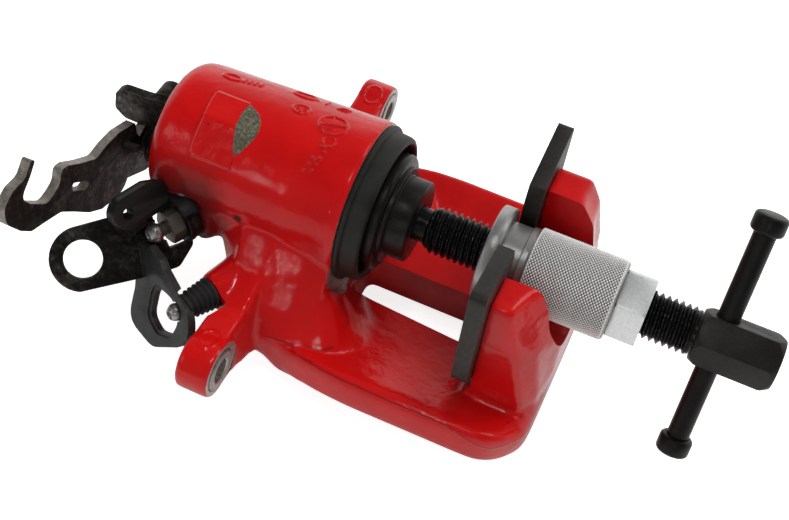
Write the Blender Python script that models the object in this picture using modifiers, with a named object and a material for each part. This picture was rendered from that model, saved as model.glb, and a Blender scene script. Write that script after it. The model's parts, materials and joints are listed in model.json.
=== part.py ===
"""Rear disc brake caliper with a screw-type piston wind-back tool clamped in it.

Frame: metres, +Z up. The origin is the centre of the cylinder mouth, on the
piston axis. +X runs out of the cylinder towards the tool's T handle, +Y runs
across the caliper between the two guide ears, and the bridge lies at -Z.
In names, "near" is the -Y side and "far" the +Y side. Sizes are in mm.
"""
import bpy
import bmesh
from math import acos, cos, pi, radians, sin, tan
from mathutils import Matrix, Vector

MM = 0.001
GAP = 0.3                # running gap between neighbours
SIDES = (-1, 1)          # near, far

# ---- driving dimensions -----------------------------------------------------
# Cylinder and piston
CYL_END = -78.0          # closed end of the cylinder
CYL_END_R = 28.2
CYL_MOUTH_R = 31.2
MOUTH_STOCK_X = 0.6      # mouth of the casting before it is faced to x = 0
BORE_R = 20.8
SEAL_X0, SEAL_X1, SEAL_GROOVE_R = -13.2, -9.0, 24.2
BOOT_SEAT_X, BOOT_SEAT_R = -3.5, 25.6
PISTON_R = 20.5
PISTON_LEN = 50.0
PISTON_FACE_X = 4.6
PISTON_FLOOR_X = -4.0    # inner face of the piston's crown
PIN_Y = 12.5             # the tool's drive pins and the piston's notches
PIN_R = 2.1
# Bridge and fingers
BRIDGE_ARC = 150.0       # inner radius of the bridge band, about a centre above it
BRIDGE_IN = -40.0        # inner face of the bridge on the middle plane
BRIDGE_T = 17.0
BRIDGE_HALF = 57.0
WALL_X = 87.0            # outer wall of the finger side
FINGER_X = 61.3          # pad face of the fingers
FINGER_TOP = 16.0
FINGER_HALF = 37.5
THROAT_R = 22.5
# Guide ears
EAR_X0, EAR_X1 = -34.0, -21.0
EAR_Y, EAR_Z = 74.2, -27.7
EAR_R = 11.0
BUSH_HOLE_R = 8.3
# Parking lever and stop on the closed end
LEVER_X = -93.0          # +X face of the parking lever
PIVOT_Z = -13.0          # the lever shaft lies below the piston axis
SHAFT_HOLE_R = 8.3
JOURNAL_R = 5.6
STOP_Y, STOP_Z = 14.2, 8.0
STOP_HOLE_R = 2.8
# Bleed screw and lower stud share one direction, out of the near flank
NIPPLE_AXIS = Vector((-0.45, -0.893, 0.0)).normalized()
BLEED_BASE = Vector((-60.0, -28.5, -12.8))
STUD_BASE = Vector((-38.0, -48.8, -22.0))
HEX_BASE = 3.7           # underside of the bleed screw's hexagon, from BLEED_BASE
HEX_HEIGHT = 6.9
# Wind-back tool
SPINDLE_R = 9.0
SLEEVE_BORE = 9.35
SLEEVE_HEX_AF = 24.0     # across flats
BLOCK_AF = 19.0
BLOCK_END = 158.0
CUP_FLOOR_X, CUP_R = 14.5, 6.8   # socket in the adapter disc
SLOT_HALF = 14.2         # half width of the reaction plate's slot
TBAR_R = 4.1
TBAR_ANGLE = radians(58.0)
TBAR_CENTRE = Vector((136.4, 0, 0))
TBAR_AXIS = Vector((0, cos(TBAR_ANGLE), sin(TBAR_ANGLE)))
CAP_LEN = 6.9

# ---- clean start ------------------------------------------------------------
for ob in list(bpy.data.objects):
    bpy.data.objects.remove(ob, do_unlink=True)

PARTS = bpy.data.collections.new("brake_caliper_with_windback_tool")
CUTS = bpy.data.collections.new("cutters")
for collection in (PARTS, CUTS):
    bpy.context.scene.collection.children.link(collection)


# ---- materials --------------------------------------------------------------
def material(name, color, roughness, metallic):
    mat = bpy.data.materials.new(name)
    mat.use_nodes = True
    inputs = mat.node_tree.nodes["Principled BSDF"].inputs
    inputs["Base Color"].default_value = (*color, 1.0)
    inputs["Roughness"].default_value = roughness
    inputs["Metallic"].default_value = metallic
    mat.diffuse_color = (*color, 1.0)
    return mat


RED = material("red_enamel", color=(0.52, 0.010, 0.010), roughness=0.22, metallic=0.0)
BLACK = material("black_oxide_steel", color=(0.030, 0.026, 0.023), roughness=0.42, metallic=0.8)
BARE = material("worn_bare_steel", color=(0.115, 0.100, 0.082), roughness=0.5, metallic=0.9)
SILVER = material("satin_steel", color=(0.62, 0.61, 0.59), roughness=0.32, metallic=1.0)
RUBBER = material("black_rubber", color=(0.012, 0.012, 0.012), roughness=0.7, metallic=0.0)
ZINC = material("zinc_steel", color=(0.30, 0.27, 0.23), roughness=0.4, metallic=1.0)
CHROME = material("ground_steel", color=(0.55, 0.55, 0.55), roughness=0.2, metallic=1.0)


# ---- frames -----------------------------------------------------------------
AXIS_TO_X = Matrix(((0, 0, 1, 0), (0, 1, 0, 0), (-1, 0, 0, 0), (0, 0, 0, 1)))  # local Z -> +X


def along_x(y, z):
    """Frame whose local Z runs along +X, through (y, z)."""
    return Matrix.Translation((0, y * MM, z * MM)) @ AXIS_TO_X


def axis_frame(axis, at):
    """Frame whose local Z runs along axis, at a point."""
    z = Vector(axis).normalized()
    x = Vector((0, 0, 1)).cross(z)
    x = Vector((1, 0, 0)) if x.length < 1e-6 else x.normalized()
    frame = Matrix((x, z.cross(x), z)).transposed().to_4x4()
    frame.translation = Vector(at) * MM
    return frame


def plane_yz(x):
    """Local x -> +Y, local y -> +Z, local z -> +X."""
    turn = Matrix(((0, 0, 1), (1, 0, 0), (0, 1, 0))).to_4x4()
    return Matrix.Translation(Vector((x, 0, 0)) * MM) @ turn


def plane_xz(y):
    """Local x -> +X, local y -> +Z, local z -> -Y."""
    turn = Matrix(((1, 0, 0), (0, 0, -1), (0, 1, 0))).to_4x4()
    return Matrix.Translation(Vector((0, y, 0)) * MM) @ turn


def plane_xy(z):
    return Matrix.Translation(Vector((0, 0, z)) * MM)


def bleed_at(distance):
    return BLEED_BASE + NIPPLE_AXIS * distance


def stud_at(distance):
    return STUD_BASE + NIPPLE_AXIS * distance


BLEED_FRAME = axis_frame(NIPPLE_AXIS, BLEED_BASE)
STUD_FRAME = axis_frame(NIPPLE_AXIS, STUD_BASE)


# ---- solids -----------------------------------------------------------------
def shade(mesh, angle=32):
    mesh.shade_smooth()
    mesh.set_sharp_from_angle(angle=radians(angle))


def put(mesh, name, mat=None, into=PARTS, smooth=True):
    """Link a mesh as an object; a piece that is still to be cut gets its
    material from finish() instead."""
    ob = bpy.data.objects.new(name, mesh)
    into.objects.link(ob)
    if mat is not None:
        mesh.materials.append(mat)
    if smooth:
        shade(mesh)
    if into is CUTS:
        ob.hide_render = True
        ob.display_type = 'WIRE'
    return ob


def finish(ob, mat, angle=32):
    ob.data.materials.clear()
    ob.data.materials.append(mat)
    shade(ob.data, angle)


def new_mesh(name, bm):
    mesh = bpy.data.meshes.new(name)
    bm.to_mesh(mesh)
    bm.free()
    return mesh


def turned(name, profile, segs=40, frame=AXIS_TO_X, **look):
    """Closed solid of revolution. profile: (along the axis, radius). Its first
    and last point lie on the axis, or the profile is a closed ring."""
    bm = bmesh.new()
    rings = []
    for along, r in profile:
        if r < 1e-6:
            rings.append([bm.verts.new((0, 0, along * MM))])
        else:
            rings.append([bm.verts.new((r * MM * cos(2 * pi * i / segs),
                                        r * MM * sin(2 * pi * i / segs), along * MM))
                          for i in range(segs)])
    pairs = list(zip(rings[:-1], rings[1:]))
    if profile[0][1] > 1e-6:
        pairs.append((rings[-1], rings[0]))
    for first, second in pairs:
        for i in range(segs):
            j = (i + 1) % segs
            if len(first) == 1:
                bm.faces.new((first[0], second[j], second[i]))
            elif len(second) == 1:
                bm.faces.new((first[i], first[j], second[0]))
            else:
                bm.faces.new((first[i], first[j], second[j], second[i]))
    bmesh.ops.recalc_face_normals(bm, faces=bm.faces)
    mesh = new_mesh(name, bm)
    mesh.transform(frame)
    return put(mesh, name, **look)


def rod(name, start, end, radius, segs=24, end_radius=None, **look):
    """Cylinder or cone between two points."""
    start, end = Vector(start), Vector(end)
    run = end - start
    bm = bmesh.new()
    bmesh.ops.create_cone(bm, cap_ends=True, segments=segs, radius1=radius * MM,
                          radius2=(radius if end_radius is None else end_radius) * MM,
                          depth=run.length * MM)
    mesh = new_mesh(name, bm)
    mesh.transform(axis_frame(run, (start + end) / 2))
    return put(mesh, name, **look)


def box_cutter(name, lo, hi):
    bm = bmesh.new()
    bmesh.ops.create_cube(bm, size=1.0)
    for v in bm.verts:
        v.co = Vector([(lo[k] + hi[k]) / 2 * MM + v.co[k] * (hi[k] - lo[k]) * MM
                       for k in range(3)])
    return put(new_mesh(name, bm), name, into=CUTS, smooth=False)


def loft(name, sections):
    """Block through parallel sections with equal numbers of (x, y, z) points."""
    bm = bmesh.new()
    loops = [[bm.verts.new(Vector(p) * MM) for p in section] for section in sections]
    count = len(loops[0])
    for first, second in zip(loops[:-1], loops[1:]):
        for i in range(count):
            j = (i + 1) % count
            bm.faces.new((first[i], first[j], second[j], second[i]))
    bm.faces.new(loops[0][::-1])
    bm.faces.new(loops[-1])
    bmesh.ops.recalc_face_normals(bm, faces=bm.faces)
    return put(new_mesh(name, bm), name, into=CUTS, smooth=False)


def curve_mesh(name, loops, cyclic, **settings):
    """Welded mesh of a poly curve through loops of (x, y, z) points."""
    curve = bpy.data.curves.new(name, 'CURVE')
    for key, value in settings.items():
        setattr(curve, key, value)
    for loop in loops:
        spline = curve.splines.new('POLY')
        spline.points.add(len(loop) - 1)
        for point, (x, y, z) in zip(spline.points, loop):
            point.co = (x * MM, y * MM, z * MM, 1)
        spline.use_cyclic_u = cyclic
    carrier = bpy.data.objects.new(name + "_curve", curve)
    bpy.context.scene.collection.objects.link(carrier)
    depsgraph = bpy.context.evaluated_depsgraph_get()
    mesh = bpy.data.meshes.new_from_object(carrier.evaluated_get(depsgraph))
    bpy.data.objects.remove(carrier, do_unlink=True)
    bm = bmesh.new()
    bm.from_mesh(mesh)
    bmesh.ops.remove_doubles(bm, verts=bm.verts, dist=1e-6)
    bmesh.ops.recalc_face_normals(bm, faces=bm.faces)
    bm.to_mesh(mesh)
    bm.free()
    return mesh


def plate(name, outline, thickness, frame, holes=(), **look):
    """Flat plate with its outline in local XY, from z = -thickness to z = 0."""
    loops = [[(x, y, 0) for x, y in loop] for loop in (outline, *holes)]
    mesh = curve_mesh(name, loops, True, dimensions='2D', fill_mode='BOTH',
                      extrude=thickness / 2 * MM)
    mesh.transform(Matrix.Translation((0, 0, -thickness / 2 * MM)))
    mesh.transform(frame)
    return put(mesh, name, **look)


def coil(name, radius, wire, turns, x0, x1, steps_per_turn, mat, centre_z=0.0):
    """Round-wire coil spring along X."""
    count = int(turns * steps_per_turn)
    path = []
    for i in range(count + 1):
        angle = 2 * pi * i / steps_per_turn
        path.append((x0 + (x1 - x0) * i / count, radius * cos(angle),
                     centre_z + radius * sin(angle)))
    mesh = curve_mesh(name, [path], False, dimensions='3D', bevel_depth=wire / 2 * MM,
                      bevel_resolution=1, use_fill_caps=True)
    return put(mesh, name, mat)


# ---- outlines ---------------------------------------------------------------
def rounded(points, radius=0, steps=3):
    """Outline with every corner rounded to radius; a point may carry its own
    radius as a third number."""
    out = []
    for i, point in enumerate(points):
        corner = Vector(point[:2])
        corner_r = point[2] if len(point) > 2 else radius
        if corner_r <= 0:
            out.append(tuple(corner))
            continue
        back = Vector(points[i - 1][:2]) - corner
        ahead = Vector(points[(i + 1) % len(points)][:2]) - corner
        back_len, ahead_len = back.length, ahead.length
        back, ahead = back / back_len, ahead / ahead_len
        angle = acos(max(-1, min(1, back.dot(ahead))))
        if angle > radians(175):
            out.append(tuple(corner))
            continue
        reach = min(corner_r / tan(angle / 2), 0.48 * back_len, 0.48 * ahead_len)
        for j in range(steps + 1):
            s = j / steps
            q = corner + back * reach * (1 - s) ** 2 + ahead * reach * s ** 2
            out.append((q.x, q.y))
    return out


def circle(cx, cy, r, segs=24):
    return [(cx + r * cos(2 * pi * i / segs), cy + r * sin(2 * pi * i / segs))
            for i in range(segs)]


def lower_half_circle(r, steps):
    angles = [pi + pi * i / steps for i in range(steps + 1)]
    return [(r * cos(a), r * sin(a)) for a in angles]


def arc(cx, cy, r, degrees):
    return [(cx + r * cos(radians(d)), cy + r * sin(radians(d))) for d in degrees]


def arc_strip(cx, cy, outer_r, inner_r, degrees):
    return arc(cx, cy, outer_r, degrees) + arc(cx, cy, inner_r, reversed(degrees))


def hexagon(across_flats, angle):
    corner_r = across_flats / 2 / cos(pi / 6)
    return [(corner_r * cos(angle + 2 * pi * i / 6), corner_r * sin(angle + 2 * pi * i / 6))
            for i in range(6)]


# ---- mesh operations --------------------------------------------------------
def bake(ob):
    """Replace an object's mesh by its evaluated mesh."""
    depsgraph = bpy.context.evaluated_depsgraph_get()
    mesh = bpy.data.meshes.new_from_object(ob.evaluated_get(depsgraph))
    old = ob.data
    ob.modifiers.clear()
    ob.data = mesh
    bpy.data.meshes.remove(old)


def boolean(ob, other, operation='DIFFERENCE'):
    mod = ob.modifiers.new(operation.lower(), 'BOOLEAN')
    mod.operation = operation
    mod.object = other
    mod.solver = 'EXACT'
    bake(ob)


def tidy(ob, dist=0.012):
    """Weld slivers left along cut edges."""
    bm = bmesh.new()
    bm.from_mesh(ob.data)
    bmesh.ops.remove_doubles(bm, verts=bm.verts, dist=dist * MM)
    bmesh.ops.dissolve_degenerate(bm, edges=bm.edges, dist=dist * MM)
    bm.to_mesh(ob.data)
    bm.free()


def keep_largest(ob):
    """Keep the largest connected piece."""
    bm = bmesh.new()
    bm.from_mesh(ob.data)
    left, best = set(bm.verts), []
    while left:
        stack = [left.pop()]
        piece = list(stack)
        while stack:
            for edge in stack.pop().link_edges:
                for v in edge.verts:
                    if v in left:
                        left.discard(v)
                        stack.append(v)
                        piece.append(v)
        if len(piece) > len(best):
            best = piece
    keep = set(best)
    bmesh.ops.delete(bm, geom=[v for v in bm.verts if v not in keep], context='VERTS')
    bm.to_mesh(ob.data)
    bm.free()


def voxel_skin(ob, voxel, factor, iterations, decimate=None):
    """Fuse a mesh into one voxel skin and round its edges by smoothing."""
    skin = ob.modifiers.new("skin", 'REMESH')
    skin.mode = 'VOXEL'
    skin.voxel_size = voxel * MM
    smoothing = ob.modifiers.new("round", 'SMOOTH')
    smoothing.factor = factor
    smoothing.iterations = iterations
    if decimate is not None:
        ob.modifiers.new("lighten", 'DECIMATE').ratio = decimate
    bake(ob)


# ---- caliper casting --------------------------------------------------------
# Half of the bridge seen along Z: x, y, corner radius
BRIDGE_PLAN = [
    (WALL_X, 0, 0), (WALL_X, 44, 17), (76, BRIDGE_HALF + 0.5, 14), (20, BRIDGE_HALF + 0.8, 10),
    (-2, BRIDGE_HALF - 2, 8), (-10, 51.5, 5), (-17, 49.5, 5), (-26, 49.0, 4), (-38, 33, 10),
    (-46, 0, 0)]

# Sections across X: x, then the (y, z) points for the far side
FLANK = [
    (-46, [(0, -20), (24, -8), (27, -12), (26, -20), (20, -26), (0, -30)]),
    (-36, [(0, -20), (28, 0), (36, -14), (38, -27), (32, -40), (0, -44)]),
    (-24, [(0, -20), (30, 0), (46, -20), (50, -32), (46, -48), (0, -58)]),
    (-8, [(0, -20), (30.5, -3), (44, -21), (53, -34), (52, -50), (0, -60)]),
    (MOUTH_STOCK_X, [(0, -20), (30.5, -6), (38, -19), (50, -33), (52, -50), (0, -60)])]
KNEE = [
    (-6, [(12, -30), (24, -18), (32, -8), (40, -19), (52, -35), (50, -48), (30, -52)]),
    (3, [(12, -36), (24, -25), (33, -18), (42, -25), (52, -36.5), (50, -48), (30, -52)]),
    (12, [(12, -42), (24, -35), (34, -31), (43, -32), (52, -38), (50, -48), (30, -52)]),
    (24, [(12, -46), (24, -42), (34, -40), (43, -39), (51, -41), (50, -48), (30, -52)])]

# Ear arm, sections across Y for the far side: (x, y, z) points
ARM = [
    [(-35, 24, 6), (-21, 24, 6), (-16, 24, -48), (-38, 24, -48)],
    [(-34.5, 40, -14), (-21, 40, -12), (-17, 40, -48), (-36, 40, -47)],
    [(-34, 54, -19.5), (-21.5, 54, -19), (-19, 54, -43), (-34, 54, -43)],
    [(EAR_X0, 76, -17.6), (-22, 76, -17.6), (-22, 76, -37.5), (EAR_X0, 76, -37.5)]]

# Finger wedge, sections across Z: z, half width, then the outer wall's x at
# the edge, at 0.76 and at 0.42 of the half width, on the near and the far side
FINGERS = [
    (-52, 38.5, (81.5, 85.5, 86.4), (86.2, 86.6, 86.6)),
    (-32, 38.0, (80.5, 84.8, 86.4), (85.6, 86.4, 86.4)),
    (-8, FINGER_HALF, (75.5, 80.5, 86.0), (82.8, 83.0, 85.0)),
    (8, FINGER_HALF, (71.0, 75.5, 82.5), (79.0, 79.5, 82.0)),
    (FINGER_TOP + 1, FINGER_HALF - 0.6, (68.5, 71.5, 77.5), (74.5, 73.5, 76.0))]

# Pad on top of the cylinder, two flats meeting on a ridge: (x, y, z) points
TOP_PAD = [
    [(-61.5, -2, 22), (-61.0, -4.5, 31.8), (-60.8, -14.0, 30.6), (-58.5, -25.5, 19.2),
     (-58, -24, 12)],
    [(-41.5, -2, 22), (-46.8, -4.5, 32.9), (-46.4, -14.6, 31.2), (-43.0, -22.6, 24.4),
     (-41, -24, 12)]]


def cylinder_block():
    profile = [
        (CYL_END, 0), (CYL_END, 24.0), (CYL_END + 1.2, 26.0), (CYL_END + 4, CYL_END_R - 0.3),
        (CYL_END + 8, CYL_END_R + 0.2), (-1, CYL_MOUTH_R), (MOUTH_STOCK_X, CYL_MOUTH_R),
        (MOUTH_STOCK_X, 0)]
    return turned("c_cyl", profile, 72, into=CUTS)


def bridge_block():
    """Rounded plan outline, stood up and trimmed to the arc band."""
    far_half = [(x, -y, r) for x, y, r in BRIDGE_PLAN[1:-1]]
    slab = plate("c_bridge", rounded(BRIDGE_PLAN + far_half[::-1], 0, 6), 60, plane_xy(-12),
                 into=CUTS)
    outer_r = BRIDGE_ARC + BRIDGE_T
    band = turned("c_band", [(-60, BRIDGE_ARC), (-60, outer_r), (100, outer_r), (100, BRIDGE_ARC)],
                  160, along_x(0, BRIDGE_IN + BRIDGE_ARC), into=CUTS)
    boolean(slab, band, 'INTERSECT')
    bpy.data.objects.remove(band, do_unlink=True)
    voxel_skin(slab, voxel=2.0, factor=0.5, iterations=22)
    return slab


def side_blocks(side):
    """Flank from cylinder to bridge, its run past the mouth, ear arm and boss."""
    def across_x(table):
        return [[(x, side * y, z) for y, z in points] for x, points in table]

    arm = [[(x, side * y, z) for x, y, z in section] for section in ARM]
    return [
        loft("c_flank%d" % side, across_x(FLANK)),
        loft("c_knee%d" % side, across_x(KNEE)),
        loft("c_arm%d" % side, arm),
        rod("c_ear%d" % side, (EAR_X0, side * EAR_Y, EAR_Z),
            (EAR_X1 + 0.8, side * EAR_Y, EAR_Z), EAR_R, 40, into=CUTS)]


def finger_block():
    """One wedge across both fingers; the throat is cut out afterwards."""
    sections = []
    for z, half, near, far in FINGERS:
        outline = [
            (FINGER_X - 1.5, -half), (FINGER_X - 1.5, half), (far[0], half),
            (far[1], half * 0.76), (far[2], half * 0.42), (0.5 * (far[2] + near[2]) + 0.4, 0),
            (near[2], -half * 0.42), (near[1], -half * 0.76), (near[0], -half)]
        sections.append([(x, y, z) for x, y in outline])
    return loft("c_fingers", sections)


def casting_blocks():
    blocks = [cylinder_block(), bridge_block()]
    for side in SIDES:
        blocks += side_blocks(side)
    blocks += [
        finger_block(),
        rod("c_bleed", bleed_at(-2.3), bleed_at(-22), 10.8, 32, end_radius=14.0, into=CUTS),
        loft("c_pad", TOP_PAD),
        rod("c_studpad", stud_at(0.5), stud_at(-14), 7.0, 24, end_radius=9, into=CUTS)]
    return blocks


def housing_cutters():
    window = rounded([(2.5, -11.2), (52, -14.8), (52, 8.2), (2.5, 8.2)], 4, 4)
    throat = [(-THROAT_R, 40)] + lower_half_circle(THROAT_R, 16) + [(THROAT_R, 40)]
    # closed end, bore with seal groove, boot seat and faced mouth
    bore = [
        (-60, 0), (-60, 18.5), (-58, BORE_R), (SEAL_X0, BORE_R), (SEAL_X0, SEAL_GROOVE_R),
        (SEAL_X1, SEAL_GROOVE_R), (SEAL_X1, BORE_R), (BOOT_SEAT_X, BORE_R),
        (BOOT_SEAT_X, BOOT_SEAT_R), (0, BOOT_SEAT_R), (0, 35.4), (7.5, 35.4), (7.5, 0)]
    cutters = [
        plate("k_window", window, 60, plane_xy(-10), into=CUTS),
        plate("k_throat", throat, 60, plane_yz(WALL_X + 14), into=CUTS),
        box_cutter("k_pad", (45, -44, -31.2), (FINGER_X, 44, 60)),
        turned("k_bore", bore, 48, into=CUTS),
        rod("k_shaftbore", (-57, 0, PIVOT_Z), (CYL_END - 3, 0, PIVOT_Z), SHAFT_HOLE_R, 32,
            into=CUTS),
        rod("k_stopscrew", (CYL_END - 3, STOP_Y, STOP_Z), (CYL_END + 11, STOP_Y, STOP_Z),
            STOP_HOLE_R, 20, into=CUTS)]
    for side in SIDES:
        ear = (side * EAR_Y, EAR_Z)
        cutters += [
            rod("k_spot%d" % side, (EAR_X1, *ear), (EAR_X1 + 5, *ear), 11.6, 32, into=CUTS),
            rod("k_bush%d" % side, (EAR_X0 - 3, *ear), (EAR_X1 + 3, *ear), BUSH_HOLE_R, 32,
                into=CUTS)]
    cutters += [
        rod("k_bleedface", bleed_at(-1.9), bleed_at(6), 12.5, 32, into=CUTS),
        rod("k_bleedhole", bleed_at(2), bleed_at(-10), 5.3, 24, into=CUTS),
        rod("k_studface", stud_at(0), stud_at(8), 10, 24, into=CUTS),
        rod("k_studhole", stud_at(2), stud_at(-9), 4.3, 20, into=CUTS)]
    return cutters


def caliper_housing():
    blocks = casting_blocks()
    bm = bmesh.new()
    for block in blocks:
        bm.from_mesh(block.data)
    housing = put(new_mesh("caliper_housing", bm), "caliper_housing")
    for block in blocks:
        bpy.data.objects.remove(block, do_unlink=True)
    voxel_skin(housing, voxel=1.6, factor=0.6, iterations=4, decimate=0.062)
    for cutter in housing_cutters():
        boolean(housing, cutter)
        tidy(housing)
    finish(housing, RED, 40)


# ---- ears and cylinder ------------------------------------------------------
def guide_bushes():
    x0, x1 = EAR_X0 + GAP, EAR_X1 + 0.6
    outer_r = BUSH_HOLE_R - GAP
    for side, name in zip(SIDES, ("guide_bush_near", "guide_bush_far")):
        turned(name, [(x0, 4.4), (x0, outer_r), (x1, outer_r), (x1, 4.4)], 32,
               along_x(side * EAR_Y, EAR_Z), mat=CHROME)


def piston_seal():
    x0, x1 = SEAL_X0 + GAP, SEAL_X1 - GAP
    inner_r, outer_r = PISTON_R + GAP, SEAL_GROOVE_R - GAP
    turned("piston_seal", [(x0, inner_r), (x0, outer_r), (x1, outer_r), (x1, inner_r)],
           mat=RUBBER)


def dust_boot():
    x0, seat_r = BOOT_SEAT_X + GAP, BOOT_SEAT_R - GAP
    profile = [
        (x0, 22.0), (x0, seat_r), (GAP, seat_r), (GAP, 29.9), (1.0, 30.4), (2.0, 30.2),
        (2.5, 28.7), (7.8, 28.3), (8.7, 27.6), (8.9, 26.4), (8.2, 25.2), (3.4, 24.6), (3.4, 22.0)]
    turned("dust_boot", profile, mat=RUBBER)


def caliper_piston():
    """Cup open towards the closed end, with two drive notches in its face."""
    open_x = PISTON_FACE_X - PISTON_LEN
    profile = [
        (PISTON_FLOOR_X, 0), (PISTON_FLOOR_X, 15.0), (open_x, 15.0), (open_x, PISTON_R),
        (PISTON_FACE_X - 0.8, PISTON_R), (PISTON_FACE_X, PISTON_R - 0.8), (PISTON_FACE_X, 0)]
    piston = turned("caliper_piston", profile, 48)
    for side in SIDES:
        boolean(piston, rod("k_notch%d" % side, (1.6, side * PIN_Y, 0), (8, side * PIN_Y, 0),
                            2.6, 16, into=CUTS))
    finish(piston, SILVER)


def adjuster():
    """Nut, screw and coil spring inside the piston."""
    nut_x = PISTON_FLOOR_X - GAP
    turned("adjuster_nut", [(nut_x, 4.8), (nut_x, 13.5), (-9, 13.5), (-9, 9.0), (-32, 9.0),
                            (-32, 4.8)], 28, mat=ZINC)
    turned("adjuster_screw", [(-8, 0), (-8, 4.4), (-52.5, 4.4), (-52.5, 12.5), (-55.5, 12.5),
                              (-55.5, 0)], 28, mat=ZINC)
    coil("adjuster_spring", radius=11.6, wire=1.8, turns=5, x0=-13, x1=-43,
         steps_per_turn=10, mat=ZINC)


# ---- parking lever ----------------------------------------------------------
def lever_shaft():
    """Shaft through the end wall, with its bush and seal."""
    pivot = along_x(0, PIVOT_Z)
    shaft = [
        (-56.0, 0), (-56.0, 6.6), (-59.4, 6.6), (-59.4, JOURNAL_R), (-92.6, JOURNAL_R),
        (-92.6, 4.9), (-96.9, 4.9), (-97.7, 4.2), (-97.7, 0)]
    turned("lever_shaft", shaft, 28, pivot, mat=ZINC)
    inner_r, outer_r = JOURNAL_R + GAP, SHAFT_HOLE_R - GAP
    bush = [(-60.6, inner_r), (-60.6, outer_r), (-74.6, outer_r), (-74.6, inner_r)]
    turned("shaft_bush", bush, 28, pivot, mat=ZINC)
    seal = [(-75.0, inner_r), (-75.0, outer_r), (-78.6, outer_r), (-79.3, 6.8),
            (-79.3, inner_r)]
    turned("shaft_seal", seal, 28, pivot, mat=RUBBER)


# Lever arm and open hook: y, z, corner radius
LEVER_ARM = [
    (-19.5, -24.8, 8), (-34.5, -20.4, 5), (-42.5, -14.3, 8), (-51.0, -5.2, 5), (-58.2, 2.0, 6),
    (-68.6, 6.4, 6), (-75.0, 8.8, 6), (-80.4, 14.7, 8), (-86.2, 24.0, 8), (-86.0, 31.5, 7),
    (-80.0, 34.6, 4), (-73.4, 34.0, 4), (-68.8, 38.8, 2), (-66.9, 36.8, 2), (-70.9, 32.4, 4),
    (-77.0, 27.5, 5), (-73.0, 21.2, 6), (-65.0, 13.0, 6), (-60.0, 13.9, 5), (-56.4, 15.2, 4),
    (-54.6, 20.3, 3), (-50.8, 19.2, 4), (-43.7, 13.6, 5), (-34.4, 7.4, 4), (-27.7, 7.9, 4),
    (-19.4, 7.1, 5), (-7.9, 2.6, 2), (-7.4, -4.0, 1), (-5.4, -6.9, 0)]
LEVER_SLOT = [(-49.6, 8.9), (-42.0, 2.6), (-40.0, -0.6), (-43.0, -0.9), (-50.4, 5.2)]  # y, z


def parking_lever():
    """Hub plate, arm and hook, with the pin and coil spring on its +X side."""
    hub = (arc(0, PIVOT_Z, 8.2, range(110, 29, -16))
           + arc(0, PIVOT_Z, 15.5, range(26, -107, -19)))
    plate("parking_lever", rounded(LEVER_ARM) + hub, 3.5, plane_yz(LEVER_X), mat=BARE,
          holes=[circle(0, PIVOT_Z, 5.3, 20), rounded(LEVER_SLOT, 1.8)])
    rod("spring_pin", (LEVER_X + GAP, -16.0, -1.9), (LEVER_X + 6.0, -16.0, -1.9), 1.9, 16,
        mat=BARE)
    coil("return_spring", radius=8.0, wire=2.2, turns=3.25, x0=-80.6, x1=-91.2,
         steps_per_turn=12, mat=BARE, centre_z=PIVOT_Z)


# Fin of the stop bracket: x, z, corner radius
STOP_FIN = [
    (-105.6, -0.5, 3), (-101.5, -4.2, 4), (-95, -4.3, 4), (-86, -1.8, 4), (-79.2, -0.9, 0),
    (-79.2, 13.2, 0), (-92, 11.4, 6), (-101.5, 10.8, 4), (-104.6, 8.0, 3)]
STOP_FOOT = [(-1.3, 0.8), (19.0, 0.8), (19.0, 14.1), (-1.3, 14.1)]  # y, z


def stop_bracket():
    """Foot on the cylinder end, fin along the axis and curled lip."""
    stop = plate("stop_bracket", rounded(STOP_FIN), 3.6, plane_xz(-2.0))
    foot = plate("k_foot", rounded(STOP_FOOT, 3), 2.6, plane_yz(CYL_END - GAP),
                 holes=[circle(STOP_Y, STOP_Z, 3.0, 20)], into=CUTS)
    boolean(stop, foot, 'UNION')
    lip = plate("k_lip", arc_strip(-84.5, 8.0, 6.0, 3.2, range(-20, 221, 20)), 8.0,
                plane_xz(0.6), into=CUTS)
    boolean(stop, lip, 'UNION')
    tidy(stop, 0.03)
    finish(stop, BARE)


def stop_screw():
    shank_r = STOP_HOLE_R - GAP
    profile = [
        (CYL_END - 6.6, 0), (CYL_END - 6.6, 4.0), (CYL_END - 6.0, 4.6), (CYL_END - 3.2, 4.6),
        (CYL_END - 3.2, shank_r), (CYL_END + 9, shank_r), (CYL_END + 9, 0)]
    turned("stop_screw", profile, 24, along_x(STOP_Y, STOP_Z), mat=ZINC)


# ---- brackets on the near flank ---------------------------------------------
# Each bracket's plate lies in its own tilted frame; outlines are local
# x, y, corner radius
ARM_NORMAL = Vector((0.875, -0.26, 0.409))
ARM_AT = Vector((-65.2, -33.8, -7.6))
ARM_OUTLINE = rounded([
    (-21.5, 11.2, 5), (-19.3, 4.4, 5), (-12.0, 0.4, 6), (-4, -1.5, 4), (6.5, -6.5, 4),
    (11, 2.0, 4), (4.0, 11.5, 5), (-3, 14.8, 4), (-16.5, 15.6, 6)], steps=4)
HOSE_NORMAL = Vector((-0.5, -0.8, 0.33)).normalized()
HOSE_AT = Vector((-67.2, -45.3, -11.9))
HOSE_OUTLINE = [
    (-3.5, 3.5, 5), (1.0, 9.5, 5), (12.0, 9.0, 5), (13.8, 0.5, 4), (35.0, -5.6, 4),
    (39.0, -13.0, 4), (36.0, -19.5, 4), (22.5, -34.0, 5), (6.0, -36.6, 5), (3.0, -22.0, 3)]
HOSE_WINDOW = [
    (13.6, -11.6, 4), (24.0, -8.6, 4), (30.6, -13.4, 4), (29.6, -21.0, 3), (23.0, -25.6, 2),
    (16.0, -24.8, 3)]
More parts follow.
